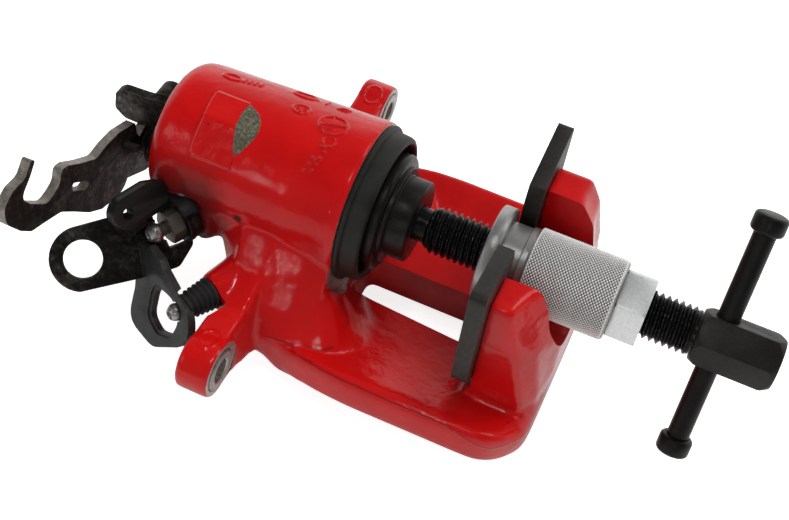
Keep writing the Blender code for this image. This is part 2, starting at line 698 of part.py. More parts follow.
# Room left for the hose bracket in the eye bracket: local x, y
HOSE_CLEARANCE = [
    (-4.5, 4.5), (0.5, 11), (20, 10), (42, -5), (42, -20), (24, -37), (2, -38), (1.8, -22)]
EYE_NORMAL = Vector((0.41, -0.56, 0.72))
EYE_AT = (-64, -38, -13)
EYE_X, EYE_Y = -30.0, -7.4
EYE_TAIL = [
    (-6.8, -16.4, 0), (4.5, -14.0, 4), (10.5, -6.0, 4), (9.0, 6.0, 4), (2.0, 11.6, 3),
    (-7.7, 8.8, 0)]


def bleed_frame_at(distance):
    return axis_frame(NIPPLE_AXIS, bleed_at(distance))


def spring_bracket():
    """Washer under the bleed screw, joined to a tilted arm by a folded tab."""
    bracket = plate("spring_bracket", circle(0, 0, 8.4, 28), 2.4, bleed_frame_at(0.8))
    additions = [
        plate("k_arm", ARM_OUTLINE, 4.2, axis_frame(ARM_NORMAL, ARM_AT),
              holes=[circle(-14.6, 8.6, 2.3, 16)], into=CUTS),
        plate("k_tab1", arc_strip(0, 0, 12.0, 7.4, range(52, 89, 6)), 2.2,
              bleed_frame_at(0.7), into=CUTS),
        plate("k_tab2", arc_strip(0, 0, 12.1, 9.4, range(54, 133, 6)), 6.5,
              bleed_frame_at(6.6), into=CUTS)]
    for addition in additions:
        boolean(bracket, addition, 'UNION')
    # clearance round the boss, the shank, the eye bracket's ring and the hexagon
    stack = [
        (-30, 0), (-30, 11.4), (-1.6, 11.4), (-1.6, 5.3), (1.1, 5.3), (1.1, 9.1), (3.7, 9.1),
        (3.7, 7.3), (30, 7.3), (30, 0)]
    boolean(bracket, turned("k_stack", stack, 32, BLEED_FRAME, into=CUTS))
    boolean(bracket, rod("k_armcyl", (-90, 0, 0), (-40, 0, 0), 29.0, 64, into=CUTS))
    tidy(bracket, 0.03)
    keep_largest(bracket)
    finish(bracket, BLACK)


def hose_bracket():
    """Windowed plate held by the bleed screw and reaching over the lower stud."""
    bracket = plate("hose_bracket", rounded(HOSE_OUTLINE), 3.2,
                    axis_frame(HOSE_NORMAL, HOSE_AT), holes=[rounded(HOSE_WINDOW)])
    boolean(bracket, rod("k_hosebleed", bleed_at(9), bleed_at(32), 4.1, 24, into=CUTS))
    stud = [(-4, 0), (-4, 6.9), (12.6, 6.9), (12.6, 3.8), (26, 3.8), (26, 0)]
    boolean(bracket, turned("k_hosestud", stud, 24, STUD_FRAME, into=CUTS))
    tidy(bracket)
    keep_largest(bracket)
    finish(bracket, BLACK)


def cable_eye_bracket():
    """Eye plate cleared round its neighbours, with a ring under the hexagon."""
    outline = arc(EYE_X, EYE_Y, 12.2, range(104, 263, 14)) + rounded(EYE_TAIL)
    eye = plate("cable_eye_bracket", outline, 3.0, axis_frame(EYE_NORMAL, EYE_AT),
                holes=[circle(EYE_X, EYE_Y, 7.1, 32)])
    stack = [
        (-30, 0), (-30, 11.6), (-1.4, 11.6), (-1.4, 8.8), (1.1, 8.8), (1.1, 7.6), (10.9, 7.6),
        (10.9, 4.1), (32, 4.1), (32, 0)]
    boolean(eye, turned("k_eyestack", stack, 32, BLEED_FRAME, into=CUTS))
    boolean(eye, plate("k_eyehose", HOSE_CLEARANCE, 4.0,
                       axis_frame(HOSE_NORMAL, HOSE_AT + HOSE_NORMAL * 0.4), into=CUTS))
    # the spring bracket's arm, enlarged about (-5, 5)
    arm_room = [(-5 + (x + 5) * 1.09, 5 + (y - 5) * 1.09) for x, y in ARM_OUTLINE]
    arm_frame = axis_frame(ARM_NORMAL, ARM_AT + ARM_NORMAL.normalized() * 0.6)
    boolean(eye, plate("k_eyearm", arm_room, 5.4, arm_frame, into=CUTS))
    boolean(eye, plate("k_eyering", circle(0, 0, 8.8, 32), 2.3, bleed_frame_at(3.4),
                       into=CUTS), 'UNION')
    boolean(eye, rod("k_eyehole", bleed_at(0), bleed_at(3.5), 5.3, 24, into=CUTS))
    tidy(eye)
    keep_largest(eye)
    finish(eye, BARE)


# ---- nipple screws ----------------------------------------------------------
def nipple_screw(name, frame, shoulder, shank_r, shank_len, nipple_start, nipple_r):
    """Shank below the shoulder, then a neck and a drilled nipple."""
    neck_r, drill_r = 2.6, 1.4
    shank_end = shoulder - shank_len
    profile = [
        (shank_end, 0), (shank_end, shank_r - 0.8), (shank_end + 0.8, shank_r),
        (shoulder + 1, shank_r), (shoulder + 1, neck_r), (nipple_start, neck_r),
        (nipple_start + 0.7, nipple_r), (nipple_start + 2.4, nipple_r + 0.3),
        (nipple_start + 4.6, nipple_r - 0.5), (nipple_start + 6.0, nipple_r - 1.5),
        (nipple_start + 6.0, drill_r), (nipple_start + 1.0, drill_r), (nipple_start + 1.0, 0)]
    return turned(name, profile, 24, frame)


def bleed_screw():
    screw = nipple_screw("bleed_screw", BLEED_FRAME, shoulder=HEX_BASE, shank_r=4.9,
                         shank_len=12.0, nipple_start=12.8, nipple_r=3.5)
    hex_frame = BLEED_FRAME @ Matrix.Translation((0, 0, (HEX_BASE + HEX_HEIGHT) * MM))
    boolean(screw, plate("k_hex", hexagon(12.0, 0.35), HEX_HEIGHT, hex_frame, into=CUTS),
            'UNION')
    finish(screw, ZINC)


def lower_nipple_stud():
    """Stud on the -X side of the near arm, with rubber bellows round it."""
    stud = nipple_screw("lower_nipple_stud", STUD_FRAME, shoulder=0.4, shank_r=3.9,
                        shank_len=8.0, nipple_start=13.4, nipple_r=3.1)
    finish(stud, ZINC)
    bellows = [(1.9, 3.0), (1.9, 4.2), (0.4, 4.2), (0.4, 6.2)]
    for i in range(5):
        bellows += [(1.0 + 2.0 * i, 6.4 - 0.25 * i), (2.0 + 2.0 * i, 5.0 - 0.2 * i)]
    bellows += [(11.4, 5.0), (12.2, 4.4), (12.2, 3.0)]
    turned("stud_bellows", bellows, 28, STUD_FRAME, mat=RUBBER)


# ---- wind-back tool ---------------------------------------------------------
def adapter_disc():
    """Disc against the piston, with a socket for the spindle and two drive pins."""
    profile = [
        (CUP_FLOOR_X, 0), (CUP_FLOOR_X, CUP_R), (21.3, CUP_R), (21.3, 15.1), (20.8, 15.6),
        (13.5, 15.6), (13.5, 18.5), (12.1, 18.5), (12.1, 21.2), (10.9, 22.5), (8.4, 22.5),
        (7.4, 22.3), (6.7, 20.5), (6.7, 0)]
    disc = turned("adapter_disc", profile)
    for side, name in zip(SIDES, ("drive_pin_a", "drive_pin_b")):
        y = side * PIN_Y
        boolean(disc, rod("k_pinhole%d" % side, (5, y, 0), (12.0, y, 0), PIN_R + GAP, 16,
                          into=CUTS))
        rod(name, (2.0, y, 0), (11.6, y, 0), PIN_R, 16, mat=CHROME)
    finish(disc, BLACK)


def spindle_screw():
    tip_x, tip_r = CUP_FLOOR_X + GAP, CUP_R - GAP
    profile = [
        (tip_x, 0), (tip_x, 5.9), (15.3, tip_r), (25.4, tip_r), (26.2, SPINDLE_R - 1.2),
        (27.6, SPINDLE_R), (127.0, SPINDLE_R), (127.9, 8.2), (127.9, 0)]
    turned("spindle_screw", profile, 36, mat=BLACK)


def handle_block():
    """Chamfered hexagon bar, cross drilled for the T bar."""
    block = plate("handle_block", hexagon(BLOCK_AF, TBAR_ANGLE + pi / 6), 29.6,
                  plane_yz(BLOCK_END))
    chamfer = [
        (127.0, 0), (127.0, 8.6), (130.6, 10.6), (133, 11.6), (153, 11.6), (155.4, 10.6),
        (158.4, 8.8), (158.4, 0)]
    boolean(block, turned("k_chamfer", chamfer, into=CUTS), 'INTERSECT')
    boolean(block, rod("k_tbar", TBAR_CENTRE - TBAR_AXIS * 20, TBAR_CENTRE + TBAR_AXIS * 20,
                       TBAR_R + 0.25, 24, into=CUTS))
    finish(block, BLACK)


def t_bar():
    """Cross bar with a hollow cap over each end."""
    rod("t_bar", TBAR_CENTRE - TBAR_AXIS * 44.0, TBAR_CENTRE + TBAR_AXIS * 47.7, TBAR_R, 24,
        mat=BLACK)
    for name, end, sign in (("t_bar_cap_upper", 49.3, 1), ("t_bar_cap_lower", -45.6, -1)):
        mouth = end - CAP_LEN * sign
        profile = [
            (end - 1.2 * sign, 0), (end - 1.2 * sign, TBAR_R + 0.2), (mouth, TBAR_R + 0.2),
            (mouth, 5.2), (mouth + 0.9 * sign, 6.1), (end - 0.9 * sign, 6.1), (end, 5.2),
            (end, 0)]
        turned(name, profile, 28, axis_frame(TBAR_AXIS, TBAR_CENTRE), mat=BLACK)


def knurled_sleeve():
    """Sleeve nut with flange, neck, plain round grip and hexagon."""
    profile = [
        (49.0, SLEEVE_BORE), (49.0, 17.4), (49.6, 18.0), (53.7, 18.0), (54.3, 17.4),
        (54.3, 13.5), (62.0, 13.5), (62.0, 14.2), (64.0, 14.2), (64.8, 15.3), (97.7, 15.3),
        (98.5, 14.5), (98.5, 12.6), (99.4, 12.6), (100.6, 13.85), (108.9, 13.85),
        (109.7, 12.9), (109.7, SLEEVE_BORE)]
    sleeve = turned("knurled_sleeve", profile)
    # the hexagon is left by a round ring with a hexagonal hole
    hex_bar = plate("k_sleevehex", hexagon(SLEEVE_HEX_AF, radians(15)), 12.0,
                    plane_yz(110.6), into=CUTS)
    hex_ring = turned("k_hexring", [(98.6, 9.9), (98.6, 18), (110.5, 18), (110.5, 9.9)],
                      into=CUTS)
    boolean(hex_ring, hex_bar)
    boolean(sleeve, hex_ring)
    tidy(sleeve)
    finish(sleeve, SILVER)


def reaction_plate():
    """Slotted plate between the sleeve flange and the fingers."""
    # -Y half of the outside: y, z, corner radius
    edge = [(-15.5, 24.0, 1), (-46.0, 30.0, 3), (-46.0, -17.5, 5), (-36.5, -26.5, 6)]
    other_edge = [(-y, z, r) for y, z, r in edge[::-1]]
    slot_end = [(y, z, 0) for y, z in lower_half_circle(SLOT_HALF, 10)[::-1]]
    outline = (edge + other_edge + [(SLOT_HALF, 18.0, 3)] + slot_end
               + [(-SLOT_HALF, 18.0, 3)])
    plate("reaction_plate", rounded(outline), 6.0, plane_yz(FINGER_X - GAP), mat=BLACK)


# ---- build ------------------------------------------------------------------
caliper_housing()
guide_bushes()
piston_seal()
dust_boot()
caliper_piston()
adjuster()
lever_shaft()
parking_lever()
stop_bracket()
stop_screw()
spring_bracket()
hose_bracket()
cable_eye_bracket()
bleed_screw()
lower_nipple_stud()
adapter_disc()
spindle_screw()
handle_block()
t_bar()
knurled_sleeve()
reaction_plate()
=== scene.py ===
# Rear brake caliper with its piston wind-back tool.
#
# +X runs along the spindle towards the T handle, +Z is up, and the origin is the centre of
# the cylinder mouth. "Near" is -Y. Dimensions below are in mm and become metres through MM;
# materials, lights and camera are in metres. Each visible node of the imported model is
# replaced by a finer piece on the same dimensions.

import bpy
import bmesh
import json
from math import pi, sin, cos, tan, acos, atan2, degrees, radians, sqrt, hypot
import numpy as np
from mathutils import Vector, Matrix


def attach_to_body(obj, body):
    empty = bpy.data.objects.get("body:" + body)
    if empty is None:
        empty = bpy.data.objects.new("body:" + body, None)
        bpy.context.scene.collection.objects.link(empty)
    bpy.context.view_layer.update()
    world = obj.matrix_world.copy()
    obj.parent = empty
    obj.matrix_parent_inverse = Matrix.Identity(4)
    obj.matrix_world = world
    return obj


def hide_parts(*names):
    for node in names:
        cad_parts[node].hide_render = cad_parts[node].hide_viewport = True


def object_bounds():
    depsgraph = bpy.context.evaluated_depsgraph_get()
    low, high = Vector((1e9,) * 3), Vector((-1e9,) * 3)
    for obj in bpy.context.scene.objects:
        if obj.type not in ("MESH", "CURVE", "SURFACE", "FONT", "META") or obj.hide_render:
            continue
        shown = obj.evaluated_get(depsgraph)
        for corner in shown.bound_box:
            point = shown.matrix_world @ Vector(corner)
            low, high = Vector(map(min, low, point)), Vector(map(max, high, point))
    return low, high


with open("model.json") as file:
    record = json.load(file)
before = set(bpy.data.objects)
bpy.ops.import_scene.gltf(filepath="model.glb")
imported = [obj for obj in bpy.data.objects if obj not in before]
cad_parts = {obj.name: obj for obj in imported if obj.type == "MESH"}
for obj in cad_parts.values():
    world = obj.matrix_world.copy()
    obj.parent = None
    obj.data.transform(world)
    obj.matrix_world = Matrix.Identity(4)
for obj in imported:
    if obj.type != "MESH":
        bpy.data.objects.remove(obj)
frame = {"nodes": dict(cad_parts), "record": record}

CAD_LO, CAD_HI = [list(v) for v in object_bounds()]
BODY = {n: b for b, ns in frame["record"]["behaviour"]["bodies"].items() for n in ns}

MM = 0.001

# ---- driving dimensions, mm ----
CYL_END = -78.0         # closed end of the cylinder
CYL_R_END = 28.2
CYL_R_MOUTH = 31.2
BORE_R = 20.8
PISTON_R = 20.5
PISTON_LEN = 50.0
PISTON_FACE = 4.6
SEAL_GAP = 0.3          # between piston and seal
BRIDGE_ARC = 150.0      # inner radius of the bridge band, about a centre above it
BRIDGE_IN = -40.0       # inner face of the bridge on the middle plane
BRIDGE_T = 17.0
BRIDGE_HALF = 57.0
WALL_X = 87.0           # outer wall of the finger side
FINGER_X = 61.3         # pad face of the fingers
FINGER_TOP = 16.0
FINGER_HALF = 37.5
NOTCH_R = 22.5          # throat between the fingers
EAR_X0, EAR_X1 = -34.0, -21.0
EAR_Y, EAR_Z = 74.2, -27.7
EAR_R = 11.0
SPINDLE_R = 9.0
PITCH = 2.5
THREAD_DEPTH = 1.5
SLEEVE_BORE = 9.35
KNURL_R = 15.3
KNURL_DEPTH = 0.60
HEX_AF = 24.0           # across flats
BLOCK_AF = 19.0
TBAR_R = 4.1
TBAR_X = 136.4
TBAR_ANG = radians(58.0)
TBAR_DIR = Vector((0, cos(TBAR_ANG), sin(TBAR_ANG)))
TBAR_AT = Vector((TBAR_X, 0, 0))
DRIVE_Y = 12.5          # drive pins, and the piston notches they enter
LEVER_X = -93.0         # +X face of the parking lever
PIVOT_Z = -13.0         # the lever shaft lies below the piston axis
STOP_Y, STOP_Z = 14.2, 8.0      # stop screw
BLEED_AXIS = Vector((-0.45, -0.893, 0.0)).normalized()
BLEED_AT = Vector((-60.0, -28.5, -12.8))
STUD_AT = Vector((-38.0, -48.8, -22.0))

# ---- material nodes ----
INPUTS = {"color": "Base Color", "rough": "Roughness", "metal": "Metallic",
          "normal": "Normal", "spec": "Specular IOR Level", "coat": "Coat Weight",
          "coat_rough": "Coat Roughness", "coat_normal": "Coat Normal",
          "coat_ior": "Coat IOR", "emission": "Emission Color", "glow": "Emission Strength"}


class Net:
    """Node tree of a material or a world."""

    def __init__(self, owner):
        self.owner = owner
        owner.use_nodes = True
        self.tree = owner.node_tree

    def add(self, kind, **settings):
        node = self.tree.nodes.new(kind)
        for key, value in settings.items():
            setattr(node, key, value)
        return node

    def feed(self, socket, value):
        """Link an output to a socket, or set its value; a colour gets alpha 1."""
        if hasattr(value, "is_linked"):
            self.tree.links.new(value, socket)
        elif isinstance(value, (tuple, list)):
            socket.default_value = (*value, 1.0)
        else:
            socket.default_value = value

    def noise(self, scale, detail=3, rough=0.55, distort=0, coords=None):
        node = self.add("ShaderNodeTexNoise")
        node.inputs["Scale"].default_value = scale
        node.inputs["Detail"].default_value = detail
        node.inputs["Roughness"].default_value = rough
        node.inputs["Distortion"].default_value = distort
        self.feed(node.inputs["Vector"], coords or self.coords)
        return node.outputs["Fac"]

    def cells(self, scale):
        node = self.add("ShaderNodeTexVoronoi", feature='F1')
        node.inputs["Scale"].default_value = scale
        self.feed(node.inputs["Vector"], self.coords)
        return node.outputs["Distance"]

    def stretch(self, scale):
        node = self.add("ShaderNodeMapping")
        node.inputs["Scale"].default_value = scale
        self.feed(node.inputs["Vector"], self.coords)
        return node.outputs["Vector"]

    def attribute(self, name):
        return self.add("ShaderNodeAttribute", attribute_name=name).outputs["Fac"]

    def ramp(self, value, stops):
        """Colour ramp through (position, colour or grey) stops."""
        node = self.add("ShaderNodeValToRGB")
        marks = node.color_ramp.elements
        while len(marks) > len(stops):
            marks.remove(marks[-1])
        while len(marks) < len(stops):
            marks.new(1.0)
        for mark, (place, color) in zip(marks, stops):
            mark.position = place
            if not isinstance(color, tuple):
                color = (color, color, color)
            mark.color = (*color, 1.0)
        self.feed(node.inputs["Fac"], value)
        return node.outputs["Color"]

    def mix(self, mask, a, b):
        node = self.add("ShaderNodeMix", data_type='RGBA')
        for index, value in ((0, mask), (6, a), (7, b)):
            self.feed(node.inputs[index], value)
        return node.outputs[2]

    def mix_value(self, mask, a, b):
        node = self.add("ShaderNodeMix")
        for index, value in ((0, mask), (2, a), (3, b)):
            self.feed(node.inputs[index], value)
        return node.outputs[0]

    def math(self, op, a, b=None, clamp=False):
        node = self.add("ShaderNodeMath", operation=op, use_clamp=clamp)
        self.feed(node.inputs[0], a)
        if b is not None:
            self.feed(node.inputs[1], b)
        return node.outputs[0]

    def times(self, a, b, clamp=False):
        return self.math('MULTIPLY', a, b, clamp)

    def tint(self, color, mask, to, amount):
        """Carry a colour towards another where the mask is 1, by an amount."""
        return self.mix(self.times(mask, amount), color, to)

    def ragged(self, value, noise, amount):
        """Add noise centred on zero."""
        return self.math('ADD', value, self.times(self.math('SUBTRACT', noise, 0.5), amount))

    def remap(self, value, low, high, to=(0, 1), ease='LINEAR'):
        """Map low..high to the range `to`, clamped."""
        node = self.add("ShaderNodeMapRange", interpolation_type=ease)
        self.feed(node.inputs["Value"], value)
        for key, number in zip(("From Min", "From Max", "To Min", "To Max"), (low, high, *to)):
            node.inputs[key].default_value = number
        return node.outputs[0]

    def bump(self, height, strength, distance, over=None):
        node = self.add("ShaderNodeBump")
        node.inputs["Strength"].default_value = strength
        node.inputs["Distance"].default_value = distance
        self.feed(node.inputs["Height"], height)
        if over is not None:
            self.feed(node.inputs["Normal"], over)
        return node.outputs["Normal"]

    def edge(self, radius, full):
        """1 on edges, 0 on flats: the rounded normal against the true one."""
        bevel = self.add("ShaderNodeBevel", samples=4)
        bevel.inputs["Radius"].default_value = radius
        geometry = self.add("ShaderNodeNewGeometry")
        dot = self.add("ShaderNodeVectorMath", operation='DOT_PRODUCT')
        self.feed(dot.inputs[0], bevel.outputs[0])
        self.feed(dot.inputs[1], geometry.outputs["Normal"])
        return self.remap(self.math('SUBTRACT', 1.0, dot.outputs["Value"]), 0.01, full)

    def corner_shade(self, reach):
        """1 in corners, 0 in the open: the mask for painted shade in corners."""
        node = self.add("ShaderNodeAmbientOcclusion", samples=6)
        node.inputs["Distance"].default_value = reach
        return self.remap(node.outputs["AO"], 0.35, 0.85, to=(1, 0))

    def finish(self, **values):
        shader = self.tree.nodes["Principled BSDF"]
        for key, value in values.items():
            self.feed(shader.inputs[INPUTS[key]], value)
        return self.owner


def textured(name):
    """New material whose textures run on object coordinates."""
    net = Net(bpy.data.materials.new(name))
    net.coords = net.add("ShaderNodeTexCoord").outputs["Object"]
    return net


# ---- materials ----
def red_enamel():
    net = textured("red_enamel_v")
    patches = net.noise(scale=38, rough=0.6)
    color = net.ramp(patches, [(0.3, (0.50, 0.0030, 0.0040)), (0.7, (0.62, 0.0050, 0.0050))])
    # painted shade darkens the corners, and dust specks sit in the paint
    color = net.tint(color, net.corner_shade(reach=0.004), (0.20, 0.004, 0.005), amount=0.45)
    specks = net.ramp(net.noise(scale=420, detail=2, rough=0.5), [(0.72, 0.0), (0.78, 1.0)])
    color = net.tint(color, specks, (0.16, 0.006, 0.006), amount=0.25)
    cast = net.noise(scale=230, detail=4, rough=0.62)
    lumps = net.noise(scale=70, detail=2, rough=0.5)
    peel = net.noise(scale=900, detail=2, rough=0.5)
    # mould parting line: a fine dark step along the outer wall
    seam = net.attribute("seam")
    seam = net.math('ABSOLUTE', net.ragged(seam, net.noise(scale=140, detail=2), amount=0.8))
    line = net.remap(seam, 0.10, 0.55, to=(1, 0))
    color = net.tint(color, line, (0.13, 0.004, 0.005), amount=0.55)
    # paint broken back to dark iron on the rim of the mouth
    rim = net.attribute("rim")
    rim = net.ragged(rim, net.noise(scale=700, rough=0.7), amount=1.7)
    chip = net.remap(rim, 0.42, 0.58, to=(1, 0))
    color = net.tint(color, chip, (0.028, 0.014, 0.011), amount=0.9)
    # small chips and pits scattered in patches
    pits = net.ramp(net.cells(scale=105), [(0.0, 1.0), (0.045, 1.0), (0.075, 0.0)])
    where = net.remap(net.noise(scale=26, detail=2), 0.50, 0.58, to=(0, 0.75))
    color = net.mix(net.times(pits, where), color, (0.10, 0.006, 0.006))
    # darkening: a soiled pit, darker low on the near side of the closed end, and painted shade on
    # the inner flanks
    soil_and_shade = net.attribute("soil_and_shade")
    grime_and_shade = net.ragged(soil_and_shade, net.noise(scale=120, detail=4, rough=0.65), amount=0.5)
    grime_and_shade = net.remap(grime_and_shade, 0.15, 0.95, to=(0, 0.88))
    grime_and_shade = net.times(grime_and_shade, net.remap(soil_and_shade, 0.0, 0.08))
    color = net.mix(grime_and_shade, color, (0.045, 0.008, 0.007))
    normal = net.bump(lumps, strength=0.42, distance=0.0011)
    normal = net.bump(cast, strength=0.55, distance=0.00034, over=normal)
    normal = net.bump(line, strength=0.5, distance=0.0003, over=normal)
    coat_normal = net.bump(peel, strength=0.24, distance=0.00010, over=normal)
    return net.finish(color=color, rough=net.remap(cast, 0.3, 0.8, to=(0.30, 0.46)), metal=0.0,
                      normal=normal, coat=net.remap(grime_and_shade, 0, 1, to=(1, 0.15)),
                      coat_rough=0.04, coat_normal=coat_normal, coat_ior=1.34, spec=0.08)


def dark_steel(name, dark, light, rough, worn, metal, wear, turned_marks=False):
    """Dark finish, cloudy from dark to light, rubbed to the worn colour on edges."""
    net = textured(name)
    cloud = net.noise(scale=70, detail=4, rough=0.6)
    speck = net.noise(scale=900, rough=0.6)
    color = net.ramp(cloud, [(0.32, dark), (0.70, light)])
    color = net.mix(net.remap(speck, 0.45, 0.75, to=(0, 0.35)), color,
                    tuple(c * 1.6 for c in light))
    edges = net.edge(radius=0.0005, full=0.16)
    patchy = net.remap(net.noise(scale=380), 0.35, 0.7, to=(0.15, 1))
    color = net.tint(color, net.times(edges, patchy, clamp=True), worn, amount=wear)
    gloss = net.remap(net.noise(scale=240, detail=4), 0.3, 0.75, to=rough)
    if turned_marks:
        # fine rings across the X axis
        wave = net.add("ShaderNodeTexWave", wave_type='BANDS', bands_direction='X')
        wave.inputs["Scale"].default_value = 520
        wave.inputs["Distortion"].default_value = 1.2
        wave.inputs["Detail"].default_value = 2
        net.feed(wave.inputs["Vector"], net.coords)
        normal = net.bump(wave.outputs["Fac"], strength=0.10, distance=0.00006)
        normal = net.bump(net.noise(scale=1900, detail=2), strength=0.12, distance=0.00008,
                          over=normal)
    else:
        normal = net.bump(net.noise(scale=1900), strength=0.22, distance=0.0001)
        normal = net.bump(net.noise(scale=160), strength=0.12, distance=0.00035, over=normal)
    return net.finish(color=color, rough=gloss, metal=metal, normal=normal, spec=0.5)


def worn_steel(name, strap=False):
    """Forged steel: dark brown scale, rubbed grey on high spots and edges."""
    net = textured(name)
    broad = net.noise(scale=95, detail=6, rough=0.68, distort=0.6)
    fine = net.noise(scale=420, detail=5, rough=0.7)
    both = net.math('ADD', net.times(broad, 0.5), net.times(fine, 0.5))
    color = net.ramp(both, [(0.36, (0.008, 0.007, 0.006)), (0.49, (0.020, 0.017, 0.014)),
                            (0.58, (0.062, 0.054, 0.045)), (0.68, (0.22, 0.20, 0.175))])
    pits = net.ramp(net.cells(scale=520), [(0.0, 1.0), (0.16, 0.0)])
    color = net.tint(color, pits, (0.012, 0.010, 0.009), amount=0.45)
    edges = net.times(net.edge(radius=0.0007, full=0.14),
                      net.remap(fine, 0.35, 0.65, to=(0.3, 1)))
    color = net.tint(color, edges, (0.30, 0.27, 0.23), amount=0.6)
    if strap:
        # the cut edges of the strap are lighter than its faces: partly rubbed wear, partly a
        # painted highlight
        geometry = net.add("ShaderNodeNewGeometry")
        split = net.add("ShaderNodeSeparateXYZ")
        net.feed(split.inputs[0], geometry.outputs["Normal"])
        edge_wear_and_highlight = net.remap(net.math('ABSOLUTE', split.outputs[0]), 0.25, 0.75, to=(1, 0))
        edge_wear_and_highlight = net.times(edge_wear_and_highlight, net.remap(fine, 0.3, 0.62, to=(0.45, 1)), clamp=True)
        color = net.tint(color, edge_wear_and_highlight, (0.45, 0.41, 0.36), amount=0.9)
    rough = net.remap(both, 0.35, 0.75, to=(0.62, 0.36))
    normal = net.bump(fine, strength=0.35, distance=0.00022)
    normal = net.bump(broad, strength=0.25, distance=0.0006, over=normal)
    return net.finish(color=color, rough=rough, metal=0.8, normal=normal)


def satin_steel(name, light, rough, brush=True, brown=0.25, metal=1.0, depth=1.0):
    """Bright steel with brown stains; brush draws the grain out across X."""
    net = textured(name)
    if brush:
        grain = net.noise(scale=1, rough=0.6, coords=net.stretch((2600, 300, 300)))
    else:
        grain = net.noise(scale=1300)
    color = net.ramp(grain, [(0.3, tuple(c * 0.82 for c in light)), (0.7, light)])
    stain = net.remap(net.noise(scale=120, detail=4, rough=0.65), 0.55, 0.78, to=(0, brown))
    color = net.mix(stain, color, (0.30, 0.25, 0.20))
    # painted shade: darker in corners
    color = net.tint(color, net.corner_shade(reach=0.0022), (0.05, 0.045, 0.04), amount=0.65)
    gloss = net.remap(grain, 0.3, 0.75, to=rough)
    normal = net.bump(grain, strength=0.12 * depth, distance=0.00006)
    normal = net.bump(net.noise(scale=700, detail=2), strength=0.08 * depth,
                      distance=0.00008, over=normal)
    return net.finish(color=color, rough=gloss, metal=metal, normal=normal)


def knurled_steel():
    """Bright crests over grooves painted nearly black as shade."""
    net = textured("knurl_steel_v")
    depth = net.attribute("depth")
    # colour by groove depth: the dark grooves are painted shade
    color = net.ramp(depth, [(0.0, (1.0, 0.99, 0.98)), (0.52, (0.97, 0.96, 0.95)),
                             (0.76, (0.16, 0.152, 0.145)), (1.0, (0.004, 0.004, 0.004))])
    rough = net.remap(depth, 0, 1, to=(0.30, 0.6))
    normal = net.bump(net.noise(scale=1600, detail=2), strength=0.15, distance=0.00006)
    return net.finish(color=color, rough=rough, metal=0.35, normal=normal)


def bare_casting():
    """Bare ground casting: grey green, open grain."""
    net = textured("bare_casting_v")
    grain = net.noise(scale=900, detail=5, rough=0.75)
    stain = net.noise(scale=300, detail=4, rough=0.7)
    color = net.ramp(grain, [(0.34, (0.05, 0.045, 0.028)), (0.52, (0.15, 0.145, 0.095)),
                             (0.68, (0.33, 0.325, 0.25)), (0.8, (0.55, 0.53, 0.46))])
    color = net.mix(net.remap(stain, 0.4, 0.7, to=(0, 0.5)), color, (0.09, 0.085, 0.055))
    normal = net.bump(grain, strength=0.9, distance=0.00035)
    return net.finish(color=color, rough=0.62, metal=0.35, normal=normal)


def machined_iron():
    net = textured("machined_iron_v")
    grain = net.noise(scale=1, rough=0.6, coords=net.stretch((200, 1800, 1800)))
    color = net.ramp(grain, [(0.3, (0.40, 0.38, 0.35)), (0.7, (0.72, 0.70, 0.67))])
    rust = net.remap(net.noise(scale=260, detail=4, rough=0.7), 0.54, 0.74, to=(0, 0.8))
    color = net.mix(rust, color, (0.12, 0.082, 0.055))
    color = net.tint(color, net.edge(radius=0.0009, full=0.10), (0.045, 0.03, 0.022),
                     amount=0.9)
    normal = net.bump(grain, strength=0.25, distance=0.0001)
    return net.finish(color=color, rough=net.remap(grain, 0.3, 0.7, to=(0.3, 0.5)),
                      metal=0.9, normal=normal)


def rubber(name, dark, rough):
    net = textured(name)
    dust = net.noise(scale=90, detail=4, rough=0.6)
    color = net.ramp(dust, [(0.35, dark), (0.75, tuple(c * 2.0 + 0.004 for c in dark))])
    normal = net.bump(net.noise(scale=1500), strength=0.12, distance=0.00008)
    normal = net.bump(net.noise(scale=120), strength=0.15, distance=0.0004, over=normal)
    gloss = net.remap(dust, 0.3, 0.7, to=(rough - 0.08, rough + 0.12))
    return net.finish(color=color, rough=gloss, metal=0.0, normal=normal, spec=0.3)


RED = red_enamel()
BLACK = dark_steel("black_oxide_v", dark=(0.016, 0.0145, 0.013), light=(0.026, 0.0235, 0.0205),
                   rough=(0.36, 0.50), worn=(0.12, 0.10, 0.08), metal=0.6, wear=0.45)
TURNED = dark_steel("black_turned_v", dark=(0.009, 0.0085, 0.0078),
                    light=(0.016, 0.0148, 0.0132), rough=(0.30, 0.44),
                    worn=(0.13, 0.105, 0.085), metal=0.6, wear=0.55, turned_marks=True)
THREAD = dark_steel("black_thread_v", dark=(0.008, 0.008, 0.008), light=(0.018, 0.0175, 0.017),
                    rough=(0.22, 0.38), worn=(0.30, 0.29, 0.28), metal=0.8, wear=0.3)
COATED = dark_steel("black_coated_v", dark=(0.007, 0.0065, 0.006), light=(0.013, 0.012, 0.011),
                    rough=(0.38, 0.5), worn=(0.07, 0.06, 0.05), metal=0.35, wear=0.35)
PHOSPHATE = dark_steel("grey_phosphate_v", dark=(0.028, 0.029, 0.028),
                       light=(0.050, 0.051, 0.049), rough=(0.36, 0.5),
                       worn=(0.20, 0.19, 0.17), metal=0.6, wear=0.5)
BARE = worn_steel("worn_bare_steel_v")
SILVER = satin_steel("satin_steel_v", (0.50, 0.496, 0.485), rough=(0.34, 0.46), metal=0.85,
                     brown=0.12, depth=0.5)
HEX_STEEL = satin_steel("hex_steel_v", (0.93, 0.945, 0.94), rough=(0.30, 0.42), brush=False,
                        brown=0.08, metal=0.7, depth=0.5)
GROUND = satin_steel("ground_steel_v", (0.58, 0.57, 0.56), rough=(0.34, 0.44), brown=0.1)
